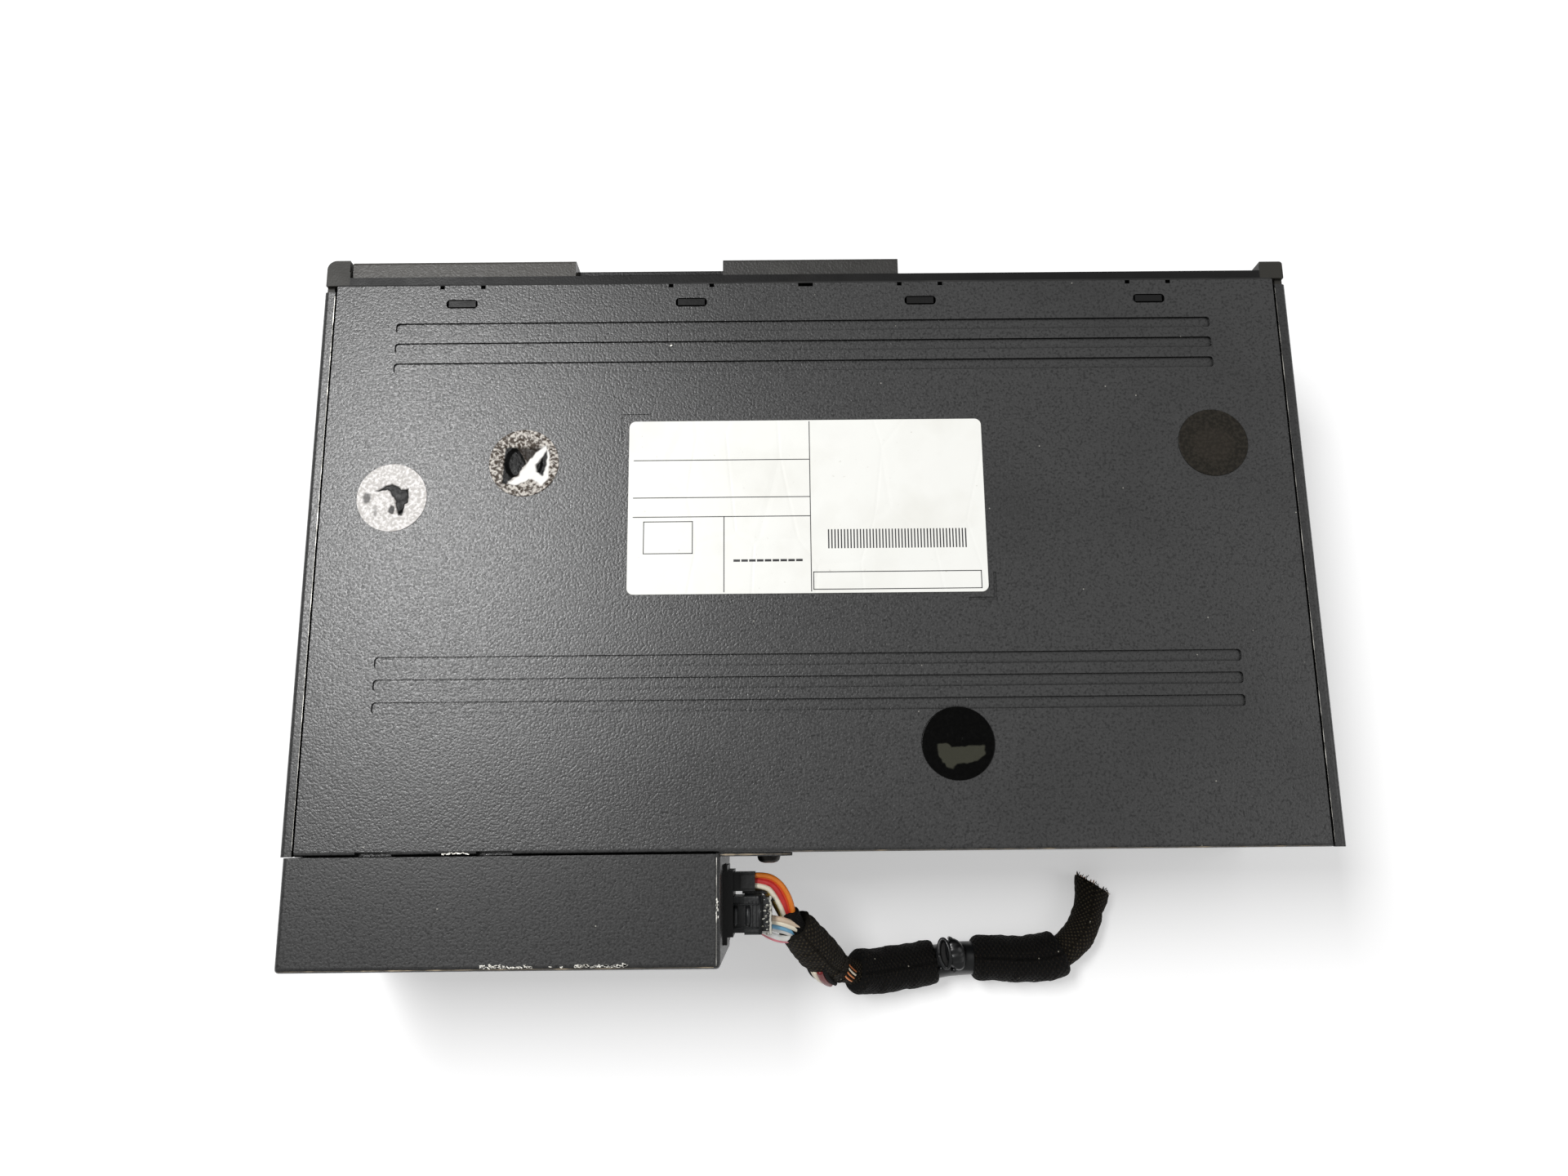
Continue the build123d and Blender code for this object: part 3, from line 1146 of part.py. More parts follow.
def export_all():
    os.makedirs("parts", exist_ok=True)
    levels = range(1, TRAY_COUNT)
    nodes = {
        "bottom_case": bottom_case(),
        "bracket_nuts": bracket_nuts(),
        "top_cover": top_cover(),
        "transit_films": transit_films(),
        "type_label": type_label(),
        "rear_screws": rear_screws(),
        "front_bezel": front_bezel(),
        "door_outer_leaf": door_outer_leaf(),
        "door_inner_leaf": door_inner_leaf(),
        "eject_button": eject_button(),
        "eject_switch_board": eject_switch_board(),
        "angle_dial_left": angle_dial(1),
        "angle_dial_right": angle_dial(-1),
        "magazine_case": magazine_case(),
        "magazine_guide": magazine_guide(),
        "stored_trays": [tray(k) for k in levels],
        "stored_discs": [disc(k) for k in levels],
        "play_tray": tray(0),
        "play_disc": disc(0),
        "chassis_front_plate": chassis_plate(-1),
        "chassis_rear_plate": chassis_rear_plate(),
        "mechanism_dampers": dampers(),
        "chassis_screws": chassis_screws(),
        "cam_guide_studs": cam_studs(),
        "lift_cam_front": lift_cam_front(),
        "lift_cam_rear": lift_cam_rear(),
        "lift_gear": lift_gear(),
        "lift_gearmotor": lift_gearmotor(),
        "deck_plate": deck_plate(),
        "deck_lift_pins": deck_lift_pins(),
        "spindle_motor": spindle_motor(),
        "turntable": turntable(),
        "guide_rods": guide_rods(),
        "rod_holders": rod_holders(),
        "optical_pickup": optical_pickup(),
        "pickup_lens": pickup_lens(),
        "sled_rack": sled_rack(),
        "sled_drive_gear": sled_drive_gear(),
        "sled_gear_stud": sled_gear_stud(),
        "sled_motor_pinion": sled_motor_pinion(),
        "sled_motor": sled_motor(),
        "clamp_arm": clamp_arm(),
        "clamp_arm_pin": clamp_arm_pin(),
        "disc_clamper": clamper(),
        "main_board": main_board(),
        "board_hangers": board_hangers(),
        "board_components": board_components(),
        "connector_cover": connector_cover(),
        "connector_board": connector_board(),
        "connector_posts": connector_posts(),
        "harness_socket": harness_socket(),
        "large_plug": large_plug(),
        "large_plug_latch": large_plug_latch(),
        "small_plug": small_plug(),
        "small_plug_wires": plug_wires(SMALL_WIRES, "small plug wire"),
        "large_plug_wires": plug_wires(LARGE_WIRES, "large plug wire"),
        "harness_bundle": harness_bundle(),
        "harness_wrap_near": sleeve(*NEAR_WRAP),
        "harness_wrap_far": sleeve(*FAR_WRAP),
        "harness_clip": harness_clip(),
    }
    for name, shape in nodes.items():
        body = Compound(children=shape) if isinstance(shape, list) else shape
        export_step(body, f"parts/{name}.step")
    print(len(nodes), "nodes")


export_all()
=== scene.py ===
"""A car disc changer lying label up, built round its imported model.

Lengths in the shapes are in millimetres.
"""
import json
import math
import random

import bpy
from mathutils import Matrix, Vector, noise


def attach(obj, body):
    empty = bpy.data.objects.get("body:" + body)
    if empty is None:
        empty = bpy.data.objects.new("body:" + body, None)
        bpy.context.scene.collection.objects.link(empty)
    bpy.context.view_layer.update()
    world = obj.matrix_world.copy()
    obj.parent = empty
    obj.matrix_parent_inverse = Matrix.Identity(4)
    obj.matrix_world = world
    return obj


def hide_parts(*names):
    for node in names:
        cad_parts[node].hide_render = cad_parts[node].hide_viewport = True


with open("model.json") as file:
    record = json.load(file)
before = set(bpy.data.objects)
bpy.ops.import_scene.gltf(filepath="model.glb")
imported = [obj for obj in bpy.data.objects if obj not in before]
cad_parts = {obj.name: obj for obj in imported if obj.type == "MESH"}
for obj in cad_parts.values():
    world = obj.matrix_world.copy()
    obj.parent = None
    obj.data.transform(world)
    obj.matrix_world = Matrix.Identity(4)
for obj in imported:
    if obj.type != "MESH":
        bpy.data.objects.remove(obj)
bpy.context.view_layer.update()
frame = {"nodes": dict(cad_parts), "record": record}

MM = 0.001
NODES = frame["nodes"]
TOP = 60.0                # height of the label face
HALF_W = 123.0            # from the middle to a side wall
FLOOR_GAP = 0.03          # tubes are flattened this far above the floor
FILL_LIGHT = 0.36         # the world's light on the object, and the floor's own glow


# ---- camera, light and floor ----
def place_camera():
    right = Vector((-0.99995, 0.01009, 0.00141))
    up = Vector((-0.00958, -0.97791, 0.20883))
    ahead = Vector((-0.00349, -0.2088, -0.97795))
    eye = Vector((7.26, 65.95, 327.32)) * MM
    data = bpy.data.cameras.new("camera")
    data.lens = 26.006
    data.sensor_width = 36.0
    data.clip_start = 0.01
    camera = bpy.data.objects.new("camera", data)
    bpy.context.scene.collection.objects.link(camera)
    rows = [(right[i], up[i], -ahead[i], eye[i]) for i in range(3)]
    camera.matrix_world = Matrix((*rows, (0, 0, 0, 1)))
    bpy.context.scene.camera = camera


def lamp(name, place, target, size, watts):
    data = bpy.data.lights.new(name, "AREA")
    data.shape = "RECTANGLE"
    data.size, data.size_y = size
    data.energy = watts
    light = bpy.data.objects.new(name, data)
    bpy.context.scene.collection.objects.link(light)
    back = (Vector(place) - Vector(target)).normalized()
    side = Vector((0, 1, 0)).cross(back).normalized()
    turn = Matrix((side, back.cross(side), back)).transposed()
    light.matrix_world = Matrix.Translation(place) @ turn.to_4x4()


def seen_rays(tree):
    """1 for rays from the camera and for those that gloss or glass sends on, and 0 for the rest."""
    path = tree.nodes.new("ShaderNodeLightPath")
    total = path.outputs["Is Camera Ray"]
    for name in ("Is Glossy Ray", "Is Transmission Ray"):
        both = tree.nodes.new("ShaderNodeMath")
        both.operation = "MAXIMUM"
        tree.links.new(total, both.inputs[0])
        tree.links.new(path.outputs[name], both.inputs[1])
        total = both.outputs[0]
    return total


def light_world():
    world = bpy.data.worlds.new("studio")
    bpy.context.scene.world = world
    world.use_nodes = True
    tree = world.node_tree
    ground = tree.nodes["Background"]
    path = tree.nodes.new("ShaderNodeLightPath")
    strength = tree.nodes.new("ShaderNodeMapRange")
    tree.links.new(path.outputs["Is Camera Ray"], strength.inputs["Value"])
    strength.inputs["To Min"].default_value = FILL_LIGHT
    strength.inputs["To Max"].default_value = 1.0
    tree.links.new(strength.outputs["Result"], ground.inputs["Strength"])
    ground.inputs["Color"].default_value = (1, 1, 1, 1)


def lay_floor():
    look = bpy.data.materials.new("paper_floor")
    look.use_nodes = True
    tree = look.node_tree
    shader = tree.nodes["Principled BSDF"]
    shader.inputs["Base Color"].default_value = (0.8, 0.8, 0.8, 1)
    shader.inputs["Roughness"].default_value = 0.9
    shader.inputs["Specular IOR Level"].default_value = 0.0
    shader.inputs["Emission Color"].default_value = (1, 1, 1, 1)
    glow = tree.nodes.new("ShaderNodeMath")
    glow.operation = "MULTIPLY"
    tree.links.new(seen_rays(tree), glow.inputs[0])
    glow.inputs[1].default_value = FILL_LIGHT
    tree.links.new(glow.outputs[0], shader.inputs["Emission Strength"])
    mesh = bpy.data.meshes.new("floor")
    h = 4.0
    z = -0.00005
    mesh.from_pydata([(-h, -h, z), (h, -h, z), (h, h, z), (-h, h, z)], [], [(0, 1, 2, 3)])
    mesh.materials.append(look)
    floor = bpy.data.objects.new("floor", mesh)
    bpy.context.scene.collection.objects.link(floor)


place_camera()
light_world()
lay_floor()
lamp("key", (0.38, -0.25, 0.92), (0.05, 0.0, 0.03), (0.23, 0.44), 6.8)
lamp("side_fill", (-0.75, 0.05, 0.75), (0.0, 0.02, 0.03), (0.5, 0.7), 1.2)


# ---- materials ----
def tone(*srgb):
    """A colour from 0 to 255 as the eye reads it, as linear light."""
    return tuple((c / 255) ** 2.2 for c in srgb) + (1.0,)


class Surface:
    """A procedural material, put together layer by layer. Feature sizes are in millimetres."""

    def __init__(self, name, colour, rough=0.5, metal=0.0, **constants):
        self.material = bpy.data.materials.new(name)
        self.material.use_nodes = True
        self.tree = self.material.node_tree
        self.shader = self.tree.nodes["Principled BSDF"]
        self.place = self.add("ShaderNodeTexCoord").outputs["Object"]
        self.colour = colour
        self.normal = None
        self.shader.inputs["Base Color"].default_value = colour
        self.shader.inputs["Roughness"].default_value = rough
        self.shader.inputs["Metallic"].default_value = metal
        for socket, value in constants.items():
            self.shader.inputs[socket.replace("_", " ")].default_value = value

    def add(self, kind, **props):
        node = self.tree.nodes.new(kind)
        for key, value in props.items():
            setattr(node, key, value)
        return node

    def put(self, value, socket):
        if isinstance(value, bpy.types.NodeSocket):
            self.tree.links.new(value, socket)
        else:
            socket.default_value = value

    def calc(self, operation, *values):
        node = self.add("ShaderNodeMath", operation=operation)
        for value, socket in zip(values, node.inputs):
            self.put(value, socket)
        return node.outputs[0]

    def stretched(self, x, y, z):
        node = self.add("ShaderNodeMapping")
        self.put(self.place, node.inputs["Vector"])
        node.inputs["Scale"].default_value = (x, y, z)
        return node.outputs["Vector"]

    def axis(self, name):
        node = self.add("ShaderNodeSeparateXYZ")
        self.put(self.place, node.inputs[0])
        return node.outputs[name]

    def clouds(self, size, detail=2.0, place=None, rough=0.5):
        node = self.add("ShaderNodeTexNoise")
        self.put(place or self.place, node.inputs["Vector"])
        node.inputs["Scale"].default_value = 1000.0 / size
        node.inputs["Detail"].default_value = detail
        node.inputs["Roughness"].default_value = rough
        return node.outputs["Fac"]

    def cells(self, size, feature="F1", place=None, output="Distance"):
        node = self.add("ShaderNodeTexVoronoi", feature=feature)
        self.put(place or self.place, node.inputs["Vector"])
        node.inputs["Scale"].default_value = 1000.0 / size
        return node.outputs[output]

    def span(self, value, low, high, to_low=0.0, to_high=1.0):
        node = self.add("ShaderNodeMapRange")
        self.put(value, node.inputs["Value"])
        for socket, number in zip(("From Min", "From Max", "To Min", "To Max"),
                (low, high, to_low, to_high)):
            node.inputs[socket].default_value = number
        return node.outputs["Result"]

    def tint(self, mask, colour):
        """The colour so far, mixed towards another where the mask is 1."""
        node = self.add("ShaderNodeMix", data_type="RGBA")
        self.put(mask, node.inputs[0])
        self.put(self.colour, node.inputs[6])
        self.put(colour, node.inputs[7])
        self.colour = node.outputs[2]
        self.put(self.colour, self.shader.inputs["Base Color"])
        return self

    def creases(self, reach, dark):
        """Painted shade in narrow grooves and round holes: the colour goes dark where ambient
        occlusion finds the surface hemmed in.
        """
        node = self.add("ShaderNodeAmbientOcclusion", samples=8)
        node.inputs["Distance"].default_value = reach * MM
        return self.tint(self.span(node.outputs["AO"], 0.9, 0.62), dark)

    def gloss(self, mask, low, high):
        self.put(self.span(mask, 0.3, 0.7, low, high), self.shader.inputs["Roughness"])
        return self

    def relief(self, height, depth, strength=1.0):
        """Raises the surface by height times depth millimetres, in shading alone."""
        node = self.add("ShaderNodeBump")
        node.inputs["Strength"].default_value = strength
        node.inputs["Distance"].default_value = depth * MM
        self.put(height, node.inputs["Height"])
        if self.normal:
            self.put(self.normal, node.inputs["Normal"])
        self.normal = node.outputs["Normal"]
        self.put(self.normal, self.shader.inputs["Normal"])
        return self


def wrinkle_coat(name, base, dark, rough, depth=0.1):
    """Baked wrinkle paint on sheet steel: tiny sharp ridges, a few pale specks, rubbed spots and
    painted shade in its creases.
    """
    s = Surface(name, base, rough)
    s.tint(s.span(s.clouds(0.62, 2.0), 0.5, 0.66), dark)
    s.tint(s.span(s.clouds(48.0, 3.0), 0.5, 0.75, 0.0, 0.5), dark)
    s.tint(s.span(s.cells(6.5), 0.03, 0.018), tone(160, 158, 150))
    s.tint(s.span(s.clouds(3.6, 5.0, rough=0.7), 0.76, 0.8, 0.0, 0.35), tone(110, 108, 104))
    grain = s.clouds(0.56, 2.0, rough=0.55)
    s.gloss(grain, rough - 0.08, rough + 0.16)
    # painted shade: near-black in the ridges' creases and in holes, where less light reaches
    s.creases(1.3, dark=tone(14, 14, 14))
    s.relief(grain, depth)
    return s.material


def moulded(name, base, light, rough, grain=0.4, depth=0.03):
    """Injection-moulded plastic with a spark-eroded grain and faint handling marks."""
    s = Surface(name, base, rough)
    s.tint(s.span(s.clouds(14.0, 3.0), 0.45, 0.7), light)
    s.gloss(s.clouds(6.0, 3.0), rough - 0.06, rough + 0.08)
    s.relief(s.cells(grain, "SMOOTH_F1"), depth)
    s.relief(s.clouds(grain * 2.6, 2.0), depth * 0.7)
    return s.material


def bare_metal(name, base, dull, rough, along=(1, 1, 1)):
    """Plated or machined metal: brushed along one way, with duller patches."""
    s = Surface(name, base, rough, 0.95)
    s.tint(s.span(s.clouds(5.0, 4.0), 0.45, 0.7), dull)
    s.gloss(s.clouds(1.5, 4.0, s.stretched(*along)), rough - 0.08, rough + 0.12)
    s.relief(s.clouds(0.6, 3.0, s.stretched(*along)), 0.012)
    return s.material


def film(name, base, grain, rough, crinkle, metal=0.0, dark=(10, 10, 9), pale=(244, 242, 238),
        mid=(64, 58, 52)):
    """Metallised sealing film, its look mostly painted reflection. Dark, pale and middle patches
    come from the mesh's own layers: painted dark reflection, the lamp's painted glare, and painted
    sheen and shade.
    """
    s = Surface(name, base, rough, metal, Specular_IOR_Level=0.12)
    s.tint(s.span(s.clouds(0.75, 2.0, rough=0.6), 0.44, 0.6), grain)
    # painted reflection: the layers tint dark reflection, pale glare and middle sheen and shade
    for layer, colour in (("mid", mid), ("pale", pale), ("dark", dark)):
        mask = s.add("ShaderNodeAttribute", attribute_name=layer).outputs["Fac"]
        s.tint(mask, tone(*colour))
    s.gloss(s.clouds(1.2), max(rough - 0.08, 0.06), rough + 0.1)
    s.relief(s.clouds(0.8, 3.0, rough=0.6), crinkle)
    return s.material


def bezel_plastic():
    """Dark glossy rail between lighter, finely grained end blocks."""
    s = Surface("bezel_plastic", tone(58, 57, 54), 0.36, Specular_IOR_Level=0.16)
    s.tint(s.span(s.calc("ABSOLUTE", s.axis("X")), 0.1168, 0.1164), tone(34, 34, 34))
    s.tint(s.span(s.clouds(11.0, 3.0), 0.5, 0.75, 0.0, 0.5), tone(34, 33, 31))
    s.gloss(s.clouds(5.0, 3.0), 0.3, 0.42)
    s.relief(s.cells(0.45, "SMOOTH_F1"), 0.02)
    return s.material


def leaf_plastic():
    """The outer leaf: grained black plastic. The thin smooth panel beside it is painted near-black,
    its own dark plastic deepened to the shade of its recess.
    """
    s = Surface("door_plastic_outer", tone(66, 64, 61), 0.4, Specular_IOR_Level=0.35)
    s.tint(s.span(s.clouds(0.7, 2.0), 0.45, 0.65), tone(72, 70, 66))
    # painted shade: the thin panel below X = 59 mm goes near-black, as the shade in its recess
    s.tint(s.span(s.axis("X"), 0.0590, 0.0586), tone(14, 14, 14))
    s.gloss(s.clouds(1.0, 3.0), 0.32, 0.46)
    s.relief(s.clouds(0.5, 2.0), 0.07)
    return s.material


def lens_glass():
    s = Surface("lens_glass", tone(120, 150, 190), 0.06, 0.0, Transmission_Weight=0.6)
    s.tint(s.span(s.clouds(1.0, 3.0), 0.5, 0.8), tone(96, 120, 170))
    s.relief(s.clouds(0.8), 0.002)
    return s.material


def label_paper():
    s = Surface("label_paper", tone(246, 246, 241), 0.42)
    s.tint(s.span(s.clouds(18.0, 4.0), 0.5, 0.8), tone(236, 235, 228))
    s.tint(s.span(s.clouds(1.4, 3.0), 0.7, 0.8), tone(216, 214, 205))
    s.gloss(s.clouds(8.0), 0.34, 0.5)
    fold = s.cells(17.0, "DISTANCE_TO_EDGE", s.stretched(1, 0.45, 1))
    s.relief(s.span(fold, 0.0, 0.03), 0.05, 0.6)
    s.relief(s.clouds(12.0, 3.0), 0.5, 0.4)
    return s.material


def weave(name, base, light, pitch, rough=0.85, fuzz=0.05):
    """Woven or felted harness tape: threads cross at a slant, with worn pale fibres."""
    s = Surface(name, base, rough, 0.0, Specular_IOR_Level=0.2)
    uv = s.add("ShaderNodeUVMap").outputs["UV"]
    split = s.add("ShaderNodeSeparateXYZ")
    s.put(uv, split.inputs[0])
    turns = 2 * math.pi / pitch
    across = s.calc("SINE", s.calc("MULTIPLY", split.outputs["X"], turns))
    along = s.calc("SINE", s.calc("MULTIPLY", split.outputs["Y"], turns))
    threads = s.calc("MULTIPLY", across, along)
    s.tint(s.span(threads, 0.1, 1.0, 0.0, 0.55), light)
    s.tint(s.span(s.clouds(0.6, 3.0), 0.64, 0.76, 0.0, 0.7), tone(60, 52, 40))
    s.tint(s.span(s.cells(3.2), 0.07, 0.04), tone(176, 170, 156))
    s.relief(threads, fuzz)
    s.relief(s.clouds(0.5, 3.0), fuzz)
    return s.material


def insulation(name, base):
    s = Surface(name, base, 0.36)
    s.tint(s.span(s.clouds(4.0, 2.0), 0.5, 0.8),
        tuple(min(1.0, c * 1.25 + 0.01) for c in base[:3]) + (1.0,))
    s.gloss(s.clouds(2.0), 0.3, 0.46)
    s.relief(s.clouds(1.0), 0.02)
    return s.material


def disc_face():
    """Pressed disc: mirror with fine rings and a slight warm and cool shift."""
    s = Surface("disc_mirror", tone(206, 208, 214), 0.16, 0.95)
    s.tint(s.span(s.clouds(60.0, 1.0), 0.4, 0.6), tone(190, 202, 214))
    rings = s.add("ShaderNodeTexWave", wave_type="RINGS", rings_direction="Z")
    s.put(s.place, rings.inputs["Vector"])
    rings.inputs["Scale"].default_value = 1500.0
    s.relief(rings.outputs["Fac"], 0.004)
    s.gloss(s.clouds(9.0), 0.1, 0.2)
    return s.material


def circuit_board():
    s = Surface("board_green", tone(24, 70, 44), 0.35)
    track = s.cells(3.4, "DISTANCE_TO_EDGE", s.stretched(1, 1, 0))
    s.tint(s.span(track, 0.06, 0.1), tone(34, 88, 54))
    s.tint(s.span(s.cells(2.3), 0.14, 0.1), tone(196, 188, 160))
    s.gloss(s.clouds(5.0), 0.28, 0.45)
    s.relief(s.span(track, 0.05, 0.1), 0.03)
    return s.material


LOOKS = {
    "case_coat": wrinkle_coat("case_coat", tone(52, 52, 52), tone(40, 40, 40), 0.28, 0.05),
    "cover_coat": wrinkle_coat("cover_coat", tone(63, 63, 63), tone(44, 44, 44), 0.27, 0.09),
    "zinc_steel": bare_metal("zinc_steel", tone(196, 196, 190), tone(160, 160, 156), 0.34,
        (1, 0.1, 1)),
    "bezel_plastic": bezel_plastic(),
    "door_plastic": moulded("door_plastic", tone(46, 45, 43), tone(58, 57, 54), 0.42, 0.5, 0.06),
    "film_black": film("film_black", tone(38, 36, 32), tone(50, 47, 42), 0.42, 0.05),
    "label_film": label_paper(),
    "screw_black": bare_metal("screw_black", tone(44, 43, 42), tone(70, 68, 64), 0.36),
    "dial_plastic": moulded("dial_plastic", tone(58, 58, 58), tone(72, 72, 70), 0.45),
    "button_plastic": moulded("button_plastic", tone(40, 40, 40), tone(52, 52, 51), 0.38, 0.5,
        0.015),
    "magazine_plastic": moulded("magazine_plastic", tone(38, 38, 39), tone(50, 50, 50), 0.42),
    "tray_plastic": moulded("tray_plastic", tone(62, 62, 63), tone(76, 76, 76), 0.45),
    "disc_mirror": disc_face(),
    "rubber_black": moulded("rubber_black", tone(30, 30, 30), tone(42, 41, 40), 0.75, 0.9, 0.03),
    "acetal_white": moulded("acetal_white", tone(226, 222, 208), tone(214, 208, 190), 0.4, 1.2,
        0.01),
    "motor_steel": bare_metal("motor_steel", tone(186, 186, 188), tone(140, 140, 142), 0.28,
        (1, 1, 0.1)),
    "pickup_metal": bare_metal("pickup_metal", tone(150, 150, 152), tone(110, 110, 112), 0.45),
    "lens_glass": lens_glass(),
    "board_green": circuit_board(),
    "chip_black": moulded("chip_black", tone(34, 34, 35), tone(48, 48, 48), 0.5, 0.8, 0.015),
    "plug_grey": moulded("plug_grey", tone(32, 33, 34), tone(52, 53, 54), 0.42, 0.6, 0.04),
    "plug_black": moulded("plug_black", tone(9, 9, 9), tone(16, 16, 16), 0.4, 0.7, 0.02),
    "wire_mix": insulation("wire_mix", tone(180, 90, 50)),
    "tape_fleece": weave("tape_fleece", tone(26, 23, 18), tone(92, 82, 64), 1.3, 0.85, 0.3),
    "clip_black": moulded("clip_black", tone(20, 21, 22), tone(34, 35, 36), 0.3, 1.0, 0.02),
}
for part in frame["record"]["subparts"]:
    node = NODES[part["node"]]
    for place in node.material_slots:
        place.material = LOOKS[part["material_slot"]]
    if not node.material_slots:
        node.data.materials.append(LOOKS[part["material_slot"]])
for place in NODES["door_outer_leaf"].material_slots:
    place.material = leaf_plastic()

INK = moulded("print_ink", tone(38, 38, 40), tone(58, 58, 60), 0.5, 0.3, 0.004)
CHIP = bare_metal("bare_chip", tone(236, 234, 226), tone(202, 198, 188), 0.42)
SHEATH = moulded("smooth_sheath", tone(22, 23, 24), tone(40, 41, 42), 0.32, 1.4, 0.03)
TAPE = weave("wrap_tape", tone(9, 8, 7), tone(40, 34, 27), 1.2, 0.8, 0.3)
COPPER = bare_metal("copper_strand", tone(214, 138, 90), tone(168, 96, 60), 0.35)


# ---- mesh tools ----
def piece(name, verts, faces, looks, body="root", slot=None, smooth=True, which=None, uv=None):
    """A mesh that rides on a body, with verts in millimetres.

    which picks each face's material, and uv each vertex's place.
    """
    mesh = bpy.data.meshes.new(name)
    mesh.from_pydata([Vector(v) * MM for v in verts], [], faces)
    for look in looks if isinstance(looks, list) else [looks]:
        mesh.materials.append(look)
    for i, polygon in enumerate(mesh.polygons):
        polygon.use_smooth = smooth
        if which:
            polygon.material_index = which[i]
    if uv:
        layer = mesh.uv_layers.new(name="UVMap")
        for loop in mesh.loops:
            layer.data[loop.index].uv = uv[loop.vertex_index]
    mesh.update()
    obj = bpy.data.objects.new(name, mesh)
    bpy.context.scene.collection.objects.link(obj)
    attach(obj, body)
    return obj


class Heap:
    """Several closed shapes gathered into one mesh."""

    def __init__(self):
        self.verts, self.faces, self.which, self.uv = [], [], [], []

    def add(self, verts, faces, look=0, uv=None):
        first = len(self.verts)
        self.verts += [Vector(v) for v in verts]
        self.faces += [tuple(first + i for i in face) for face in faces]
        self.which += [look] * len(faces)
        self.uv += uv or [(0.0, 0.0)] * len(verts)

    def slab(self, outline, low, high, look=0):
        """An upright prism on a flat outline, which runs anticlockwise from above."""
        n = len(outline)
        verts = [(x, y, low) for x, y in outline] + [(x, y, high) for x, y in outline]
        sides = [(i, (i + 1) % n, n + (i + 1) % n, n + i) for i in range(n)]
        self.add(verts, [tuple(range(n))[::-1], tuple(range(n, 2 * n)), *sides], look)

    def bar(self, x0, y0, x1, y1, low, high, look=0):
        x0, x1 = sorted((x0, x1))
        y0, y1 = sorted((y0, y1))
        self.slab([(x0, y0), (x1, y0), (x1, y1), (x0, y1)], low, high, look)

    def piece(self, name, looks, **rest):
        return piece(name, self.verts, self.faces, looks, which=self.which, uv=self.uv, **rest)


def spline_line(route, steps=10):
    """Points along the NURBS spline that has the route as its control points, in millimetres."""
    data = bpy.data.curves.new("route", "CURVE")
    data.dimensions = "3D"
    data.resolution_u = steps
    spline = data.splines.new("NURBS")
    spline.points.add(len(route) - 1)
    for control, place in zip(spline.points, route):
        control.co = (*(Vector(place) * MM), 1.0)
    spline.resolution_u = steps
    spline.order_u = 3
    spline.use_endpoint_u = True
    obj = bpy.data.objects.new("route", data)
    bpy.context.scene.collection.objects.link(obj)
    mesh = bpy.data.meshes.new_from_object(obj)
    line = [vertex.co / MM for vertex in mesh.vertices]
    bpy.data.objects.remove(obj)
    bpy.data.meshes.remove(mesh)
    bpy.data.curves.remove(data)
    return line


def along(line):
    """How far along the line each of its points is."""
    total, out = 0.0, [0.0]
    for a, b in zip(line, line[1:]):
        total += (b - a).length
        out.append(total)
    return out


def tube(line, radius, sides=16, squeeze=None):
    """(verts, faces, uv) of a closed tube.

    radius is a number, or a function of the length along and of the angle, which is 0 on the
    +Z side.
    """
    marks = along(line)
    verts, uv = [], []
    for i, middle in enumerate(line):
        ahead = (line[min(i + 1, len(line) - 1)] - line[max(i - 1, 0)]).normalized()
        side = ahead.cross(Vector((0, 0, 1)))
        if side.length < 0.05:
            side = ahead.cross(Vector((0, 1, 0)))
        side.normalize()
        top = side.cross(ahead)
        for k in range(sides):
            angle = 2 * math.pi * k / sides
            r = radius(marks[i], angle) if callable(radius) else radius
            offset = top * math.cos(angle) * r + side * math.sin(angle) * r
            if squeeze:
                offset += ahead * squeeze(marks[i], offset)
            place = middle + offset
            place.z = max(place.z, FLOOR_GAP)
            verts.append(place)
            uv.append((angle * 4.0, marks[i]))
    faces = []
    for i in range(len(line) - 1):
        for k in range(sides):
            j = (k + 1) % sides
            faces.append((i * sides + k, i * sides + j, (i + 1) * sides + j, (i + 1) * sides + k))
    last = (len(line) - 1) * sides
    for first, turn in ((0, 1), (last, -1)):
        centre = sum((verts[first + k] for k in range(sides)), Vector()) / sides
        verts.append(centre)
        uv.append((0.0, 0.0))
        hub = len(verts) - 1
        for k in range(sides):
            j = (k + 1) % sides
            faces.append((hub, first + j, first + k) if turn > 0 else (hub, first + k, first + j))
    return verts, faces, uv


def table_of(stops):
    """A smooth function through (place, value) stops."""
    def at(s):
        if s <= stops[0][0]:
            return stops[0][1]
        for (a, u), (b, v) in zip(stops, stops[1:]):
            if s <= b:
                t = (s - a) / (b - a)
                t = t * t * (3 - 2 * t)
                return u + (v - u) * t
        return stops[-1][1]
    return at


def rough_ring(s, angle, size, seed=0.0):
    """Uneven cloth surface: noise that closes round the tube."""
    return noise.noise(Vector((math.cos(angle) * size, math.sin(angle) * size,
        s * size / 4 + seed)))


# ---- the cut harness ----
CORD_ROUTE = [
    (4.4, 89.2, 35.0),
    (-0.2, 94.9, 28.0),
    (-4.6, 100.0, 19.2),
    (-9.8, 102.9, 12.0),
    (-17.2, 103.4, 8.0),
    (-27.5, 102.2, 6.2),
    (-38.5, 100.4, 6.0),
    (-48.0, 100.3, 5.9),
    (-58.0, 101.0, 6.0),
    (-66.5, 100.0, 6.2),
    (-72.5, 96.0, 5.6),
    (-76.5, 89.7, 4.8),
    (-78.0, 81.8, 4.3),
]
CUT_SLANT = 0.42          # how far the cut end leans, for each millimetre along X
CORD_LINE = spline_line(CORD_ROUTE, 26)
LONG = along(CORD_LINE)[-1]


def part_of_cord(first_x, last_x):
    """The stretch of the cord's line between two places along X."""
    return [p for p in CORD_LINE if last_x <= p.x <= first_x and p.y > 92]


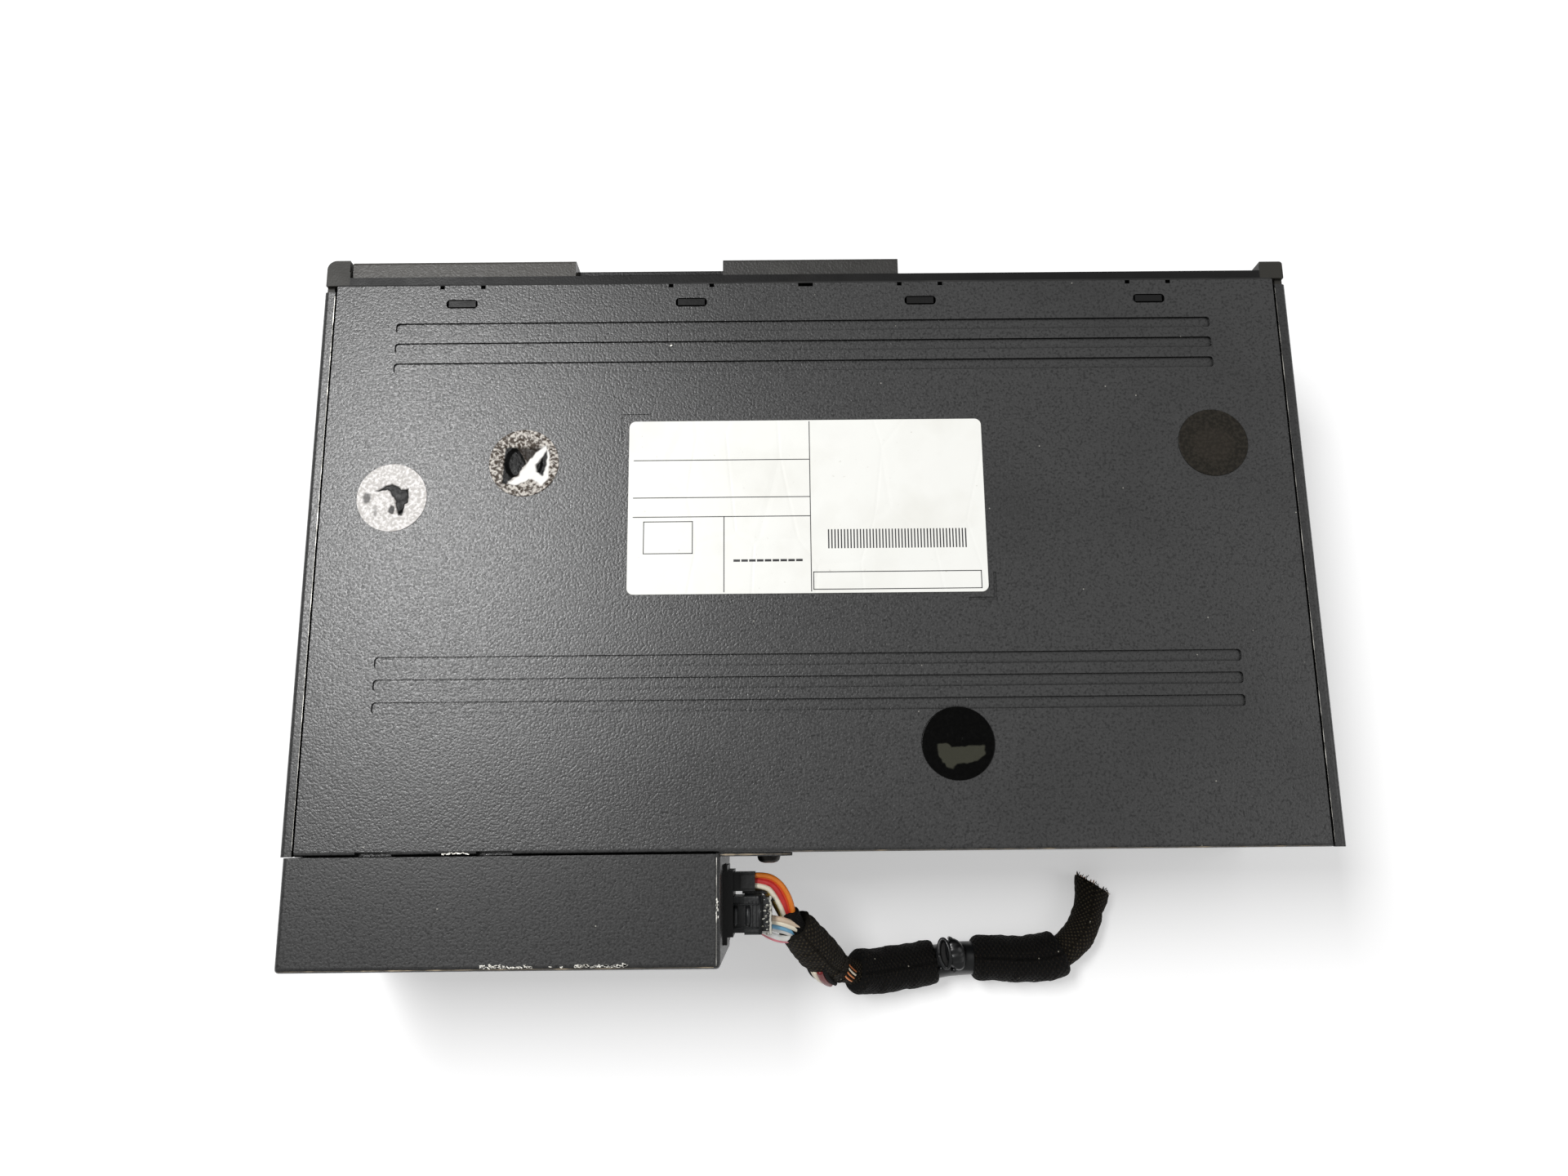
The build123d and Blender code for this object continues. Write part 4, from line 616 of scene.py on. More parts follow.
def build_bundle():
    girth = table_of([
        (0, 4.1), (3, 4.7), (11, 5.0), (19, 4.8), (25, 3.7), (29, 3.15), (33, 3.4), (50, 4.0),
        (66, 3.9), (80, 3.9), (LONG - 14, 4.3), (LONG - 6, 4.0), (LONG, 4.75),
    ])

    def radius(s, angle):
        wound = (s / 6.5 + angle / (2 * math.pi)) % 1.0
        step = 0.22 * (1 - wound) if s < 30 else 0.0
        lump = 0.28 * rough_ring(s, angle, 2.2) + 0.12 * rough_ring(s, angle, 6.0, 9.0)
        lip = 0.35 * max(0.0, 1 - s / 1.2)
        return girth(s) + step + lump + lip

    def slant(s, offset):
        """The far end is cut at a slant, and the near end's mouth is pulled open on one side."""
        cut = CUT_SLANT * offset.x * max(0.0, 1 - (LONG - s) / 8.0)
        mouth = -0.3 * offset.z * max(0.0, 1 - s / 6.0)
        return cut + mouth

    verts, faces, uv = tube(CORD_LINE, radius, 40, slant)
    bundle = piece("harness_sleeve", verts, faces, LOOKS["tape_fleece"], slot="tape_fleece", uv=uv)
    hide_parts("harness_bundle")
    return bundle


def build_wrap(name, first_x, last_x, stops, node, seed):
    line = part_of_cord(first_x, last_x)
    length = along(line)[-1]
    girth = table_of([(share * length, r) for share, r in stops])

    def radius(s, angle):
        turn = (s / 9.5 + angle / (2 * math.pi) + seed) % 1.0
        ends = 0.5 * (max(0.0, 1 - s / 0.9) ** 2 + max(0.0, 1 - (length - s) / 0.9) ** 2)
        lump = 0.24 * rough_ring(s, angle, 1.7, seed * 7) + 0.07 * rough_ring(s, angle, 8.0, seed)
        return girth(s) + 0.18 * (1 - turn) + lump - ends

    verts, faces, uv = tube(line, radius, 48)
    wrap = piece(name, verts, faces, TAPE, slot="tape_fleece", uv=uv)
    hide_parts(node)
    return wrap


def dome(centre, across, long, high, lean, ribs=0):
    """An oval cap on a short stem, turned about the upright; ribs curve over its face."""
    turn = Matrix.Rotation(lean, 3, "Z")
    rings, n = 14, 44
    verts = [centre + Vector((0, 0, high))]
    for i in range(1, rings + 1):
        r = i / rings
        for k in range(n):
            a = 2 * math.pi * k / n
            flat = Vector((across * r * math.cos(a), long * r * math.sin(a),
                high * math.sqrt(max(0.0, 1 - r ** 2.6))))
            if ribs:
                bow = flat.y + 0.5 * (flat.x / across) ** 2
                flat.z += 0.08 * math.sin(bow * math.pi * ribs / long) * (1 - r ** 4)
            verts.append(centre + turn @ flat)
    for drop, share in ((0.9, 1.0), (1.5, 0.8), (5.0, 0.55)):
        for k in range(n):
            a = 2 * math.pi * k / n
            verts.append(centre + turn @ Vector((across * share * math.cos(a),
                long * share * math.sin(a), -drop)))
    rings += 3
    faces = [(0, 1 + k, 1 + (k + 1) % n) for k in range(n)]
    for i in range(rings - 1):
        a, b = 1 + i * n, 1 + (i + 1) * n
        faces += [(a + k, b + k, b + (k + 1) % n, a + (k + 1) % n) for k in range(n)]
    verts.append(centre - Vector((0, 0, 5.0)))
    last = 1 + (rings - 1) * n
    faces += [(len(verts) - 1, last + (k + 1) % n, last + k) for k in range(n)]
    return verts, faces


def build_clip():
    """A smooth sheath with a push-in clip: a ring with a dark slot, and a ribbed oval beside it."""
    sheath = Heap()
    sheath.add(*tube(part_of_cord(-33.2, -44.2), lambda s, a: 4.35 + 0.1 * rough_ring(s, a, 1.5),
        40)[:2])
    collar = piece("harness_sheath", sheath.verts, sheath.faces, SHEATH, slot="clip_black")
    wings = Heap()
    ring = []
    turn = Matrix.Rotation(0.12, 3, "Z") @ Matrix.Rotation(0.35, 3, "Y")
    for k in range(41):
        a = 2 * math.pi * k / 40
        ring.append(Vector((-35.6, 98.6, 12.2))
            + turn @ Vector((1.5 * math.cos(a), 3.7 * math.sin(a), 0.3 * math.cos(2 * a))))
    wings.add(*tube(ring, 0.5, 12)[:2])
    wings.add(*dome(Vector((-35.6, 98.6, 10.6)), 1.4, 3.5, 0.8, 0.12), look=1)
    wings.add(*dome(Vector((-38.7, 98.9, 11.2)), 2.7, 4.2, 1.7, 0.3, 4.5))
    for x, y in ((-34.6, 102.6), (-38.0, 103.0), (-37.4, 94.9)):
        nub = [Vector((x, y, 9.0)), Vector((x, y, 11.0)), Vector((x - 0.1, y, 11.6))]
        wings.add(*tube(nub, 0.5, 12)[:2])
    looks = [LOOKS["clip_black"], LOOKS["rubber_black"]]
    clip = piece("harness_push_clip", wings.verts, wings.faces, looks, which=wings.which,
        slot="clip_black")
    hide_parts("harness_clip")
    return [collar, clip]


WIRE_COLOURS = {
    "orange": (232, 128, 44),
    "vermilion": (214, 70, 34),
    "red": (196, 52, 52),
    "rose": (226, 150, 150),
    "cream": (238, 228, 206),
    "yellow": (232, 190, 62),
    "ochre": (110, 84, 44),
    "tan": (206, 184, 160),
    "white": (238, 236, 230),
    "blue": (120, 178, 214),
    "pink": (220, 130, 140),
}
WIRE_LOOKS = {
    name: insulation("wire_" + name, tone(*colour)) for name, colour in WIRE_COLOURS.items()
}


def build_wires(name, wires, node, radius=0.66):
    heap = Heap()
    names = sorted({w[0] for w in wires})
    for colour, *route in wires:
        line = spline_line(route, 10)
        heap.add(*tube(line, radius, 12)[:2], look=names.index(colour))
    looks = [WIRE_LOOKS[n] for n in names]
    made = heap.piece(name, looks, slot="wire_mix")
    if node:
        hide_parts(node)
    return made


def build_plug_wires():
    small = [
        ("orange", (15, 76.7, 43.6), (11.4, 76.4, 43.7), (8.0, 78.3, 43.2), (5.9, 81.5, 42.2),
            (4.9, 84.8, 40.2), (4.5, 88.0, 37.6)),
        ("vermilion", (15, 77.2, 42.8), (11.2, 77.2, 43.0), (8.4, 79.0, 42.7), (6.6, 82.0, 41.6),
            (5.6, 85.0, 39.6), (5.0, 88.2, 37.2)),
        ("red", (15, 77.9, 43.4), (11.0, 78.1, 43.6), (8.9, 79.8, 43.2), (7.3, 82.6, 41.8),
            (6.3, 85.6, 39.4), (5.6, 88.6, 36.8)),
        ("rose", (15, 78.5, 42.8), (11.0, 78.8, 43.0), (9.4, 80.6, 42.6), (7.9, 83.2, 41.2),
            (6.8, 86.0, 38.8), (6.0, 88.8, 36.4)),
        ("yellow", (15, 79.1, 42.0), (11.4, 79.4, 42.0), (9.8, 81.4, 41.6), (8.4, 84.0, 40.2),
            (7.3, 86.6, 38.0), (6.4, 89.0, 36.0)),
        ("cream", (15, 78.9, 43.6), (11.2, 79.3, 43.8), (9.6, 81.2, 43.2), (8.1, 83.8, 41.6),
            (7.0, 86.4, 39.0), (6.2, 88.9, 36.8)),
        ("ochre", (15, 79.6, 40.4), (12.0, 80.2, 40.2), (10.2, 82.2, 39.6), (8.8, 84.6, 38.6),
            (7.6, 87.0, 37.0), (6.4, 89.4, 35.2)),
        ("ochre", (15, 78.8, 39.4), (11.6, 79.4, 39.4), (9.6, 81.8, 38.8), (8.2, 84.4, 37.8),
            (7.0, 87.0, 36.4), (6.0, 89.6, 34.6)),
    ]
    large = [
        ("tan", (11.5, 86.6, 42.0), (8.6, 87.0, 41.8), (5.6, 87.9, 40.4), (2.8, 89.4, 38.0),
            (1.4, 91.6, 35.4)),
        ("cream", (11.5, 87.3, 41.6), (8.6, 87.8, 41.4), (5.8, 88.8, 40.0), (3.2, 90.2, 37.6),
            (1.8, 92.0, 35.2)),
        ("blue", (11.5, 88.4, 40.2), (8.8, 88.9, 40.0), (6.4, 89.6, 38.6), (4.2, 90.8, 36.6),
            (2.6, 92.2, 34.4)),
        ("white", (11.5, 89.0, 39.0), (8.8, 89.8, 38.8), (6.6, 90.4, 37.6), (4.6, 91.4, 35.8),
            (3.0, 92.8, 33.8)),
        ("pink", (13.0, 90.0, 38.4), (10.6, 91.6, 38.0), (7.8, 92.5, 37.0), (5.2, 92.6, 35.4),
            (3.2, 93.2, 33.2)),
        ("white", (13.0, 89.6, 39.2), (10.4, 91.0, 38.9), (7.6, 92.0, 37.8), (5.0, 92.2, 36.1),
            (3.0, 92.6, 34.0)),
    ]
    return [build_wires("small_plug_wire_set", small, "small_plug_wires"),
        build_wires("large_plug_wire_set", large, "large_plug_wires", 0.7)]


def build_branch_sleeve():
    """The short taped sleeve that gathers the small plug's wires beside the bundle's mouth."""
    route = [(5.4, 85.6, 39.6), (4.6, 87.8, 38.2), (3.2, 90.2, 36.2), (1.6, 92.6, 33.4)]
    line = spline_line(route, 10)
    verts, faces, uv = tube(line, lambda s, a: 2.0 + 0.2 * rough_ring(s, a, 2.0, 4.0), 24)
    return piece("branch_sleeve", verts, faces, TAPE, slot="tape_fleece", uv=uv)


def build_slit():
    """A split in the tape with wires and turned lips, and the strands at the waist."""
    heap = Heap()
    line = CORD_LINE
    marks = along(line)
    def beside(low, high, turn, away):
        out = []
        for p, q, s in zip(line, line[1:], marks):
            if low <= s <= high:
                ahead = (q - p).normalized()
                side = ahead.cross(Vector((0, 0, 1))).normalized()
                top = side.cross(ahead)
                t = (s - low) / (high - low)
                angle = turn + 0.5 * (t - 0.5)
                out.append(p + (top * math.cos(angle) + side * math.sin(angle)) * away(t))
        return out
    bulge = lambda height: lambda t: height + 0.5 * math.sin(math.pi * t)
    for colour, turn, height, girth in ((0, 1.1, 4.55, 0.75), (1, 0.82, 4.75, 0.9),
            (0, 1.3, 4.35, 0.6)):
        heap.add(*tube(beside(14, 23, turn, bulge(height)), girth, 12)[:2], look=colour)
    for turn, height in ((1.46, 4.5), (0.56, 4.8)):
        heap.add(*tube(beside(13.4, 23.6, turn, bulge(height)), 0.55, 12)[:2], look=2)
    for turn, colour in ((0.1, 3), (-0.15, 0), (0.4, 3), (-0.4, 3)):
        waist = beside(24.4, 29.6, turn, lambda t: 3.75 - 0.3 * t)
        heap.add(*tube(waist, 0.26, 8)[:2], look=colour)
    looks = [WIRE_LOOKS["cream"], insulation("wire_dark_red", tone(112, 20, 22)), TAPE, COPPER]
    return piece("harness_slit", heap.verts, heap.faces, looks, which=heap.which, slot="wire_mix")


def build_cut_end():
    """Cut wires and frayed threads at the bundle's far end."""
    rng = random.Random(11)
    heap = Heap()
    tip = CORD_LINE[-1]
    ahead = (tip - CORD_LINE[-4]).normalized()
    side = ahead.cross(Vector((0, 0, 1))).normalized()
    top = side.cross(ahead)
    for k in range(21):
        angle = 2.4 * k
        start = tip + (top * math.cos(angle) + side * math.sin(angle)) * 0.84 * math.sqrt(k)
        end = start + ahead * (CUT_SLANT * (start - tip).x + rng.uniform(-0.9, 0.5))
        heap.add(*tube([start - ahead * 3, end - ahead * 0.4, end], 0.6, 10)[:2],
            look=rng.choice((0, 1, 2, 2, 2)))
        for _ in range(3):
            nudge = Vector([rng.uniform(-0.25, 0.25) for _ in range(3)])
            heap.add(*tube([end + nudge - ahead, end + nudge * 1.6 + ahead * 0.45], 0.15, 6)[:2],
                look=3)
    for _ in range(90):
        angle = rng.uniform(0, 2 * math.pi)
        outward = top * math.cos(angle) + side * math.sin(angle)
        start = tip + outward * 4.4
        start += ahead * (CUT_SLANT * (start - tip).x - rng.uniform(0.1, 0.9))
        bend = start + outward * rng.uniform(0.0, 0.3) + ahead * rng.uniform(0.4, 0.9)
        end = (
            bend + outward * rng.uniform(-0.5, 0.5) + side * rng.uniform(-0.4, 0.4)
            + ahead * rng.uniform(0.1, 0.9)
        )
        heap.add(*tube([start, bend, end], 0.1, 5)[:2], look=rng.choice((1, 2, 4, 4)))
    looks = [WIRE_LOOKS["cream"], WIRE_LOOKS["tan"], insulation("wire_black", tone(26, 25, 24)),
        COPPER, TAPE]
    return piece("harness_cut_end", heap.verts, heap.faces, looks, which=heap.which,
        slot="wire_mix")


BUNDLE = build_bundle()
NEAR = build_wrap("harness_tape_near", -11.3, -33.9, [(0, 5.2), (0.06, 5.7), (0.4, 5.8), (1, 5.7)],
    "harness_wrap_near", 0.2)
FAR = build_wrap("harness_tape_far", -43.4, -67.6,
    [(0, 5.3), (0.08, 5.8), (0.5, 5.9), (0.85, 6.2), (1, 6.0)], "harness_wrap_far", 0.7)
CORD_PIECES = [NEAR, FAR, *build_clip(), *build_plug_wires(), build_branch_sleeve(), build_slit(),
    build_cut_end()]


# ---- seals over the transit-screw holes ----
FILM_R = 8.6
HOLE_R = 4.3              # where a film can sink in


def depth_in(shape, p, soft):
    """1 inside an outline and 0 outside it, with a soft edge."""
    if len(shape) == 4 and not isinstance(shape[0], tuple):
        x, y, a, b = shape
        r = math.hypot((p.x - x) / a, (p.y - y) / b)
        signed = (1 - r) * min(a, b)
    else:
        inside, near = False, 99.0
        for (x0, y0), (x1, y1) in zip(shape, shape[1:] + shape[:1]):
            a, b = Vector((x0, y0)), Vector((x1, y1))
            t = min(1.0, max(0.0, (p - a).dot(b - a) / (b - a).length_squared))
            near = min(near, (p - a.lerp(b, t)).length)
            if (y0 > p.y) != (y1 > p.y) and p.x < (x1 - x0) * (p.y - y0) / (y1 - y0) + x0:
                inside = not inside
        signed = near if inside else -near
    t = min(1.0, max(0.0, signed / soft + 0.5))
    return t * t * (3 - 2 * t)


def build_film(name, centre, look, seed, crinkle, sink, layers):
    """A thin disc of film: crinkled where it lies flat, sunk over the hole.

    layers maps mid, pale and dark to rows of (outline, soft edge, weight), the patches of painted
    reflection.
    """
    rings, sectors = 46, 160
    verts, faces, shades = [], [], {key: [] for key in ("mid", "pale", "dark")}

    def shade(p):
        wander = Vector((noise.noise(Vector((p.x, p.y, seed))),
            noise.noise(Vector((p.y, p.x, seed + 3)))))
        at = p + wander * 0.3
        out = {}
        for key, rows in shades.items():
            out[key] = max([
                weight * depth_in(shape, at, soft) for shape, soft, weight in layers.get(key, [])
            ] or [0.0])
            rows.append(out[key])
        return out

    def lift(p, tones):
        edge = min(1.0, (FILM_R - p.length) / 1.2)
        ripple = 1 - 2.2 * abs(noise.noise(Vector((p.x * 0.9, p.y * 0.9, seed))))
        ripple += 0.5 * noise.noise(Vector((p.x * 2.2, p.y * 2.2, seed + 5.0)))
        flat = max(tones.values())
        over_hole = depth_in((0.0, 0.0, HOLE_R, HOLE_R), p, 1.0)
        dip = sink * over_hole * (tones["dark"] + 0.4 * tones["mid"])
        return crinkle * max(0.0, ripple) * edge * (1 - 0.8 * flat) + 0.12 - dip

    for lower in (0, 0.1):
        for i in range(rings + 1):
            for k in range(1 if i == 0 else sectors):
                a = 2 * math.pi * k / sectors
                p = Vector((math.cos(a), math.sin(a))) * (FILM_R * i / rings)
                verts.append((centre[0] + p.x, centre[1] + p.y, TOP + lift(p, shade(p)) - lower))
    per = 1 + rings * sectors
    for base, turn in ((0, 1), (per, -1)):
        for k in range(sectors):
            j = (k + 1) % sectors
            faces.append((base, base + 1 + k, base + 1 + j)[::turn])
            for i in range(rings - 1):
                a, b = base + 1 + i * sectors, base + 1 + (i + 1) * sectors
                faces.append((a + k, b + k, b + j, a + j)[::turn])
    rim = 1 + (rings - 1) * sectors
    for k in range(sectors):
        j = (k + 1) % sectors
        faces.append((rim + k, per + rim + k, per + rim + j, rim + j))
    made = piece(name, verts, faces, look, slot="film_black")
    for key, rows in shades.items():
        layer = made.data.attributes.new(key, "FLOAT", "POINT")
        layer.data.foreach_set("value", rows)
    return made


# painted reflection: the silvered film's near-white base and the pale grain of the silvered and
# crinkled films stand for the lamp's glare on the foil
SILVER_GLARE_FILM = film("film_silver_glare", tone(196, 192, 188), tone(240, 237, 235), 0.34, 0.04,
    pale=(246, 244, 240))
CRINKLED = film("film_crinkled", tone(74, 65, 57), tone(212, 206, 198), 0.34, 0.1,
    pale=(246, 244, 240), mid=(46, 40, 35))
GLOSSY = film("film_gloss", tone(5, 5, 4), tone(11, 11, 10), 0.16, 0.015, mid=(62, 62, 54))
# Outlines of painted reflection on the films: the pools and the eye are painted dark reflection,
# the ridge is painted glare, the front shade is painted shade and the rear gleam is a painted
# highlight.
LEFT_POOL = [
    (4.3, -1.6), (3.0, -2.2), (1.9, -3.0), (0.0, -3.6), (-1.3, -2.9), (-2.2, -2.1), (-4.0, -2.3),
    (-4.2, 1.0), (-3.3, 1.8), (-2.9, 4.5), (-1.9, 4.7), (-1.3, 2.9), (-0.9, 0.6), (0.5, -1.2),
    (1.2, -2.1), (2.8, -1.7),
]
FRONT_POOL = [(4.65, -3.95), (2.1, -4.1), (0.4, -2.0), (-0.4, 0.0), (1.2, 2.6), (4.3, 5.5),
    (5.2, 5.3), (5.0, 1.1)]
FRONT_SHADE = [(2.3, -4.1), (-5.0, -4.0), (-2.1, -1.2), (-0.6, 0.2), (0.6, -2.0)]
FRONT_RIDGE_GLARE = [
    (-5.4, -4.65), (-6.3, -2.0), (-6.1, 4.0), (-4.5, 5.9), (-2.1, 4.2), (-1.0, 4.4), (1.2, 5.7),
    (3.9, 5.4), (1.0, 3.0), (-0.8, 0.0), (-3.1, -2.8),
]
FRONT_EYE = [(-5.6, -3.5), (-5.0, -2.4), (-2.9, 0.7), (-3.2, 2.3), (-4.7, 3.6), (-5.3, 1.9),
    (-5.6, -0.9)]
REAR_GLEAM = [
    (5.0, 0.2), (2.9, -0.1), (1.5, 0.8), (-6.1, 0.4), (-6.2, 2.6), (-4.4, 4.0), (-1.9, 4.7),
    (0.5, 4.6), (1.5, 6.0), (2.9, 5.4), (4.0, 4.0), (4.8, 2.3),
]
FILMS = [
    build_film("transit_film_left", (102.3, -14.7), SILVER_GLARE_FILM, 3, 0.05, 0.3, {
        "dark": [(LEFT_POOL, 0.35, 1.0), ((6.1, 0.0, 1.0, 1.4), 0.7, 0.75),
            ((-0.2, 3.1, 0.65, 1.1), 0.4, 0.9), ((3.8, 3.5, 0.45, 1.3), 0.7, 0.5)],
    }),
    build_film("transit_film_front", (70.2, -23.3), CRINKLED, 8, 0.2, 0.6, {
        "mid": [(FRONT_SHADE, 1.2, 1.0)],
        "pale": [(FRONT_RIDGE_GLARE, 0.5, 1.0)],
        "dark": [(FRONT_POOL, 0.3, 1.0), (FRONT_EYE, 0.4, 1.0)],
    }),
    # painted sheen: a soft lighter patch in the middle of the right film
    build_film("transit_film_right", (-100.6, -27.0), LOOKS["film_black"], 5, 0.05, 0.1, {
        "mid": [((0.0, 0.5, 5.0, 4.4), 2.5, 0.25)],
    }),
    build_film("transit_film_rear", (-34.2, 46.5), GLOSSY, 6, 0.05, 0.2, {
        "mid": [(REAR_GLEAM, 0.35, 1.0)],
    }),
]
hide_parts("transit_films")


# ---- print on the type label: plain rules, empty frames and an even stripe block ----
def build_label_print():
    heap = Heap()
    low, high = TOP + 0.1, TOP + 0.135
    w = 0.11
    def rule(x0, y0, x1, y1, half=w):
        heap.bar(min(x0, x1) - half, min(y0, y1) - half, max(x0, x1) + half, max(y0, y1) + half,
            low, high)
    rule(-0.35, -33.4, -0.35, 9.7)
    for y, right in ((-23.6, -0.2), (-14.0, -0.2), (-9.1, -0.2)):
        rule(43.0, y, right, y)
    rule(20.8, -9.1, 20.8, 9.7)
    for x0, y0, x1, y1 in ((40.4, -7.9, 28.5, 0.1), (-0.9, 5.0, -41.5, 9.3)):
        rule(x0, y0, x1, y0)
        rule(x0, y1, x1, y1)
        rule(x0, y0, x0, y1)
        rule(x1, y0, x1, y1)
    stripes = 44
    for k in range(stripes):
        x = -4.7 - 33.4 * k / (stripes - 1)
        rule(x, -5.5, x, -1.0, 0.16)
    for k in range(9):
        x = 18.2 - k * 1.9
        rule(x, 2.0, x - 1.0, 2.0, 0.3)
    return heap.piece("label_print", INK, slot="label_film", smooth=False)


build_label_print()


# ---- plugs ----
def build_plug_details():
    """Two finger nubs and a seam on the large plug, and a ribbed step on the small one."""
    heap = Heap()
    for x in (18.7, 15.7):
        line = [Vector((x, 84.0, 45.3)), Vector((x, 84.6, 45.75)), Vector((x, 86.0, 45.85)),
            Vector((x, 87.4, 45.75)), Vector((x, 88.0, 45.3))]
        heap.add(*tube(line, 0.62, 14)[:2])
    for x in (22.6, 12.9):
        heap.bar(x - 0.25, 81.3, x + 0.25, 90.3, 45.3, 45.75)
    heap.bar(12.0, 83.2, 23.0, 83.5, 45.3, 45.7)
    heap.bar(12.0, 88.6, 23.0, 88.9, 45.3, 45.62)
    heap.piece("large_plug_nubs", LOOKS["plug_grey"], slot="plug_grey")
    small = Heap()
    for k in range(4):
        small.bar(22.9 - k * 0.8, 76.1, 23.3 - k * 0.8, 80.1, 45.4, 45.8)
    small.piece("small_plug_ribs", LOOKS["plug_black"], slot="plug_black")


def build_fray():
    """Torn pale edge of the grommet where the large plug's wires come out."""
    rng = random.Random(4)
    heap = Heap()
    rim = [Vector((10.3 + 0.35 * noise.noise(Vector((k * 0.4, 2.0, 0))), 81.4 + k * 0.3, 45.1))
        for k in range(31)]
    heap.add(*tube(
        rim, lambda s, a: 0.22 + 0.28 * abs(noise.noise(Vector((s * 1.1, math.cos(a), 7.0)))), 12,
    )[:2])
    for _ in range(26):
        middle = Vector((10.6 + abs(rng.gauss(0, 0.9)), rng.uniform(81.8, 90.2), 45.38))
        size = rng.uniform(0.12, 0.45)
        outline = []
        for j in range(9):
            t = 2 * math.pi * j / 9
            r = rng.uniform(0.5, 1.0)
            outline.append(
                middle + Vector((math.cos(t) * size * r, math.sin(t) * size * 0.7 * r, 0))
            )
        verts = outline + [v + Vector((0, 0, 0.12)) for v in outline]
        faces = [tuple(range(9))[::-1], tuple(range(9, 18))] + [
            (i, (i + 1) % 9, 9 + (i + 1) % 9, 9 + i) for i in range(9)
        ]
        heap.add(verts, faces, 0 if rng.random() < 0.6 else 1)
    pale = moulded("fray_pale", tone(196, 194, 184), tone(160, 158, 148), 0.7, 0.4, 0.03)
    grey = moulded("fray_grey", tone(120, 118, 110), tone(86, 84, 80), 0.7, 0.4, 0.03)
    heap.piece("large_plug_fray", [pale, grey], slot="plug_grey")


def build_rear_screws():
    """The screw on the box's ear has a tall pan head; the other two sit flush in the rear wall."""
    heap = Heap()
    for x, seat, high in ((-96.0, 70.7, 0.3), (-8.0, 70.7, 0.3), (10.5, 71.6, 1.9)):
        n, z = 32, 52.5
        verts = [Vector((x, seat + high, z))]
        for r, rise in ((1.2, 0.0), (2.0, 0.12), (2.5, 0.35), (2.72, 0.75), (2.75, 1.0)):
            for k in range(n):
                a = 2 * math.pi * k / n
                cross = 0.22 if r < 1.6 and (k % 8) in (0, 1, 7) else 0.0
                verts.append(Vector((x + r * math.cos(a), seat + high * (1 - rise) - cross,
                    z + r * math.sin(a))))
        faces = [(0, 1 + (k + 1) % n, 1 + k) for k in range(n)]
        for i in range(4):
            a, b = 1 + i * n, 1 + (i + 1) * n
            faces += [(a + k, a + (k + 1) % n, b + (k + 1) % n, b + k) for k in range(n)]
        verts.append(Vector((x, seat, z)))
        faces += [(len(verts) - 1, 1 + 4 * n + k, 1 + 4 * n + (k + 1) % n) for k in range(n)]
        heap.add(verts, faces)
    heads = heap.piece("rear_screw_heads", LOOKS["screw_black"], slot="screw_black")
    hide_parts("rear_screws")


build_plug_details()
build_fray()
build_rear_screws()
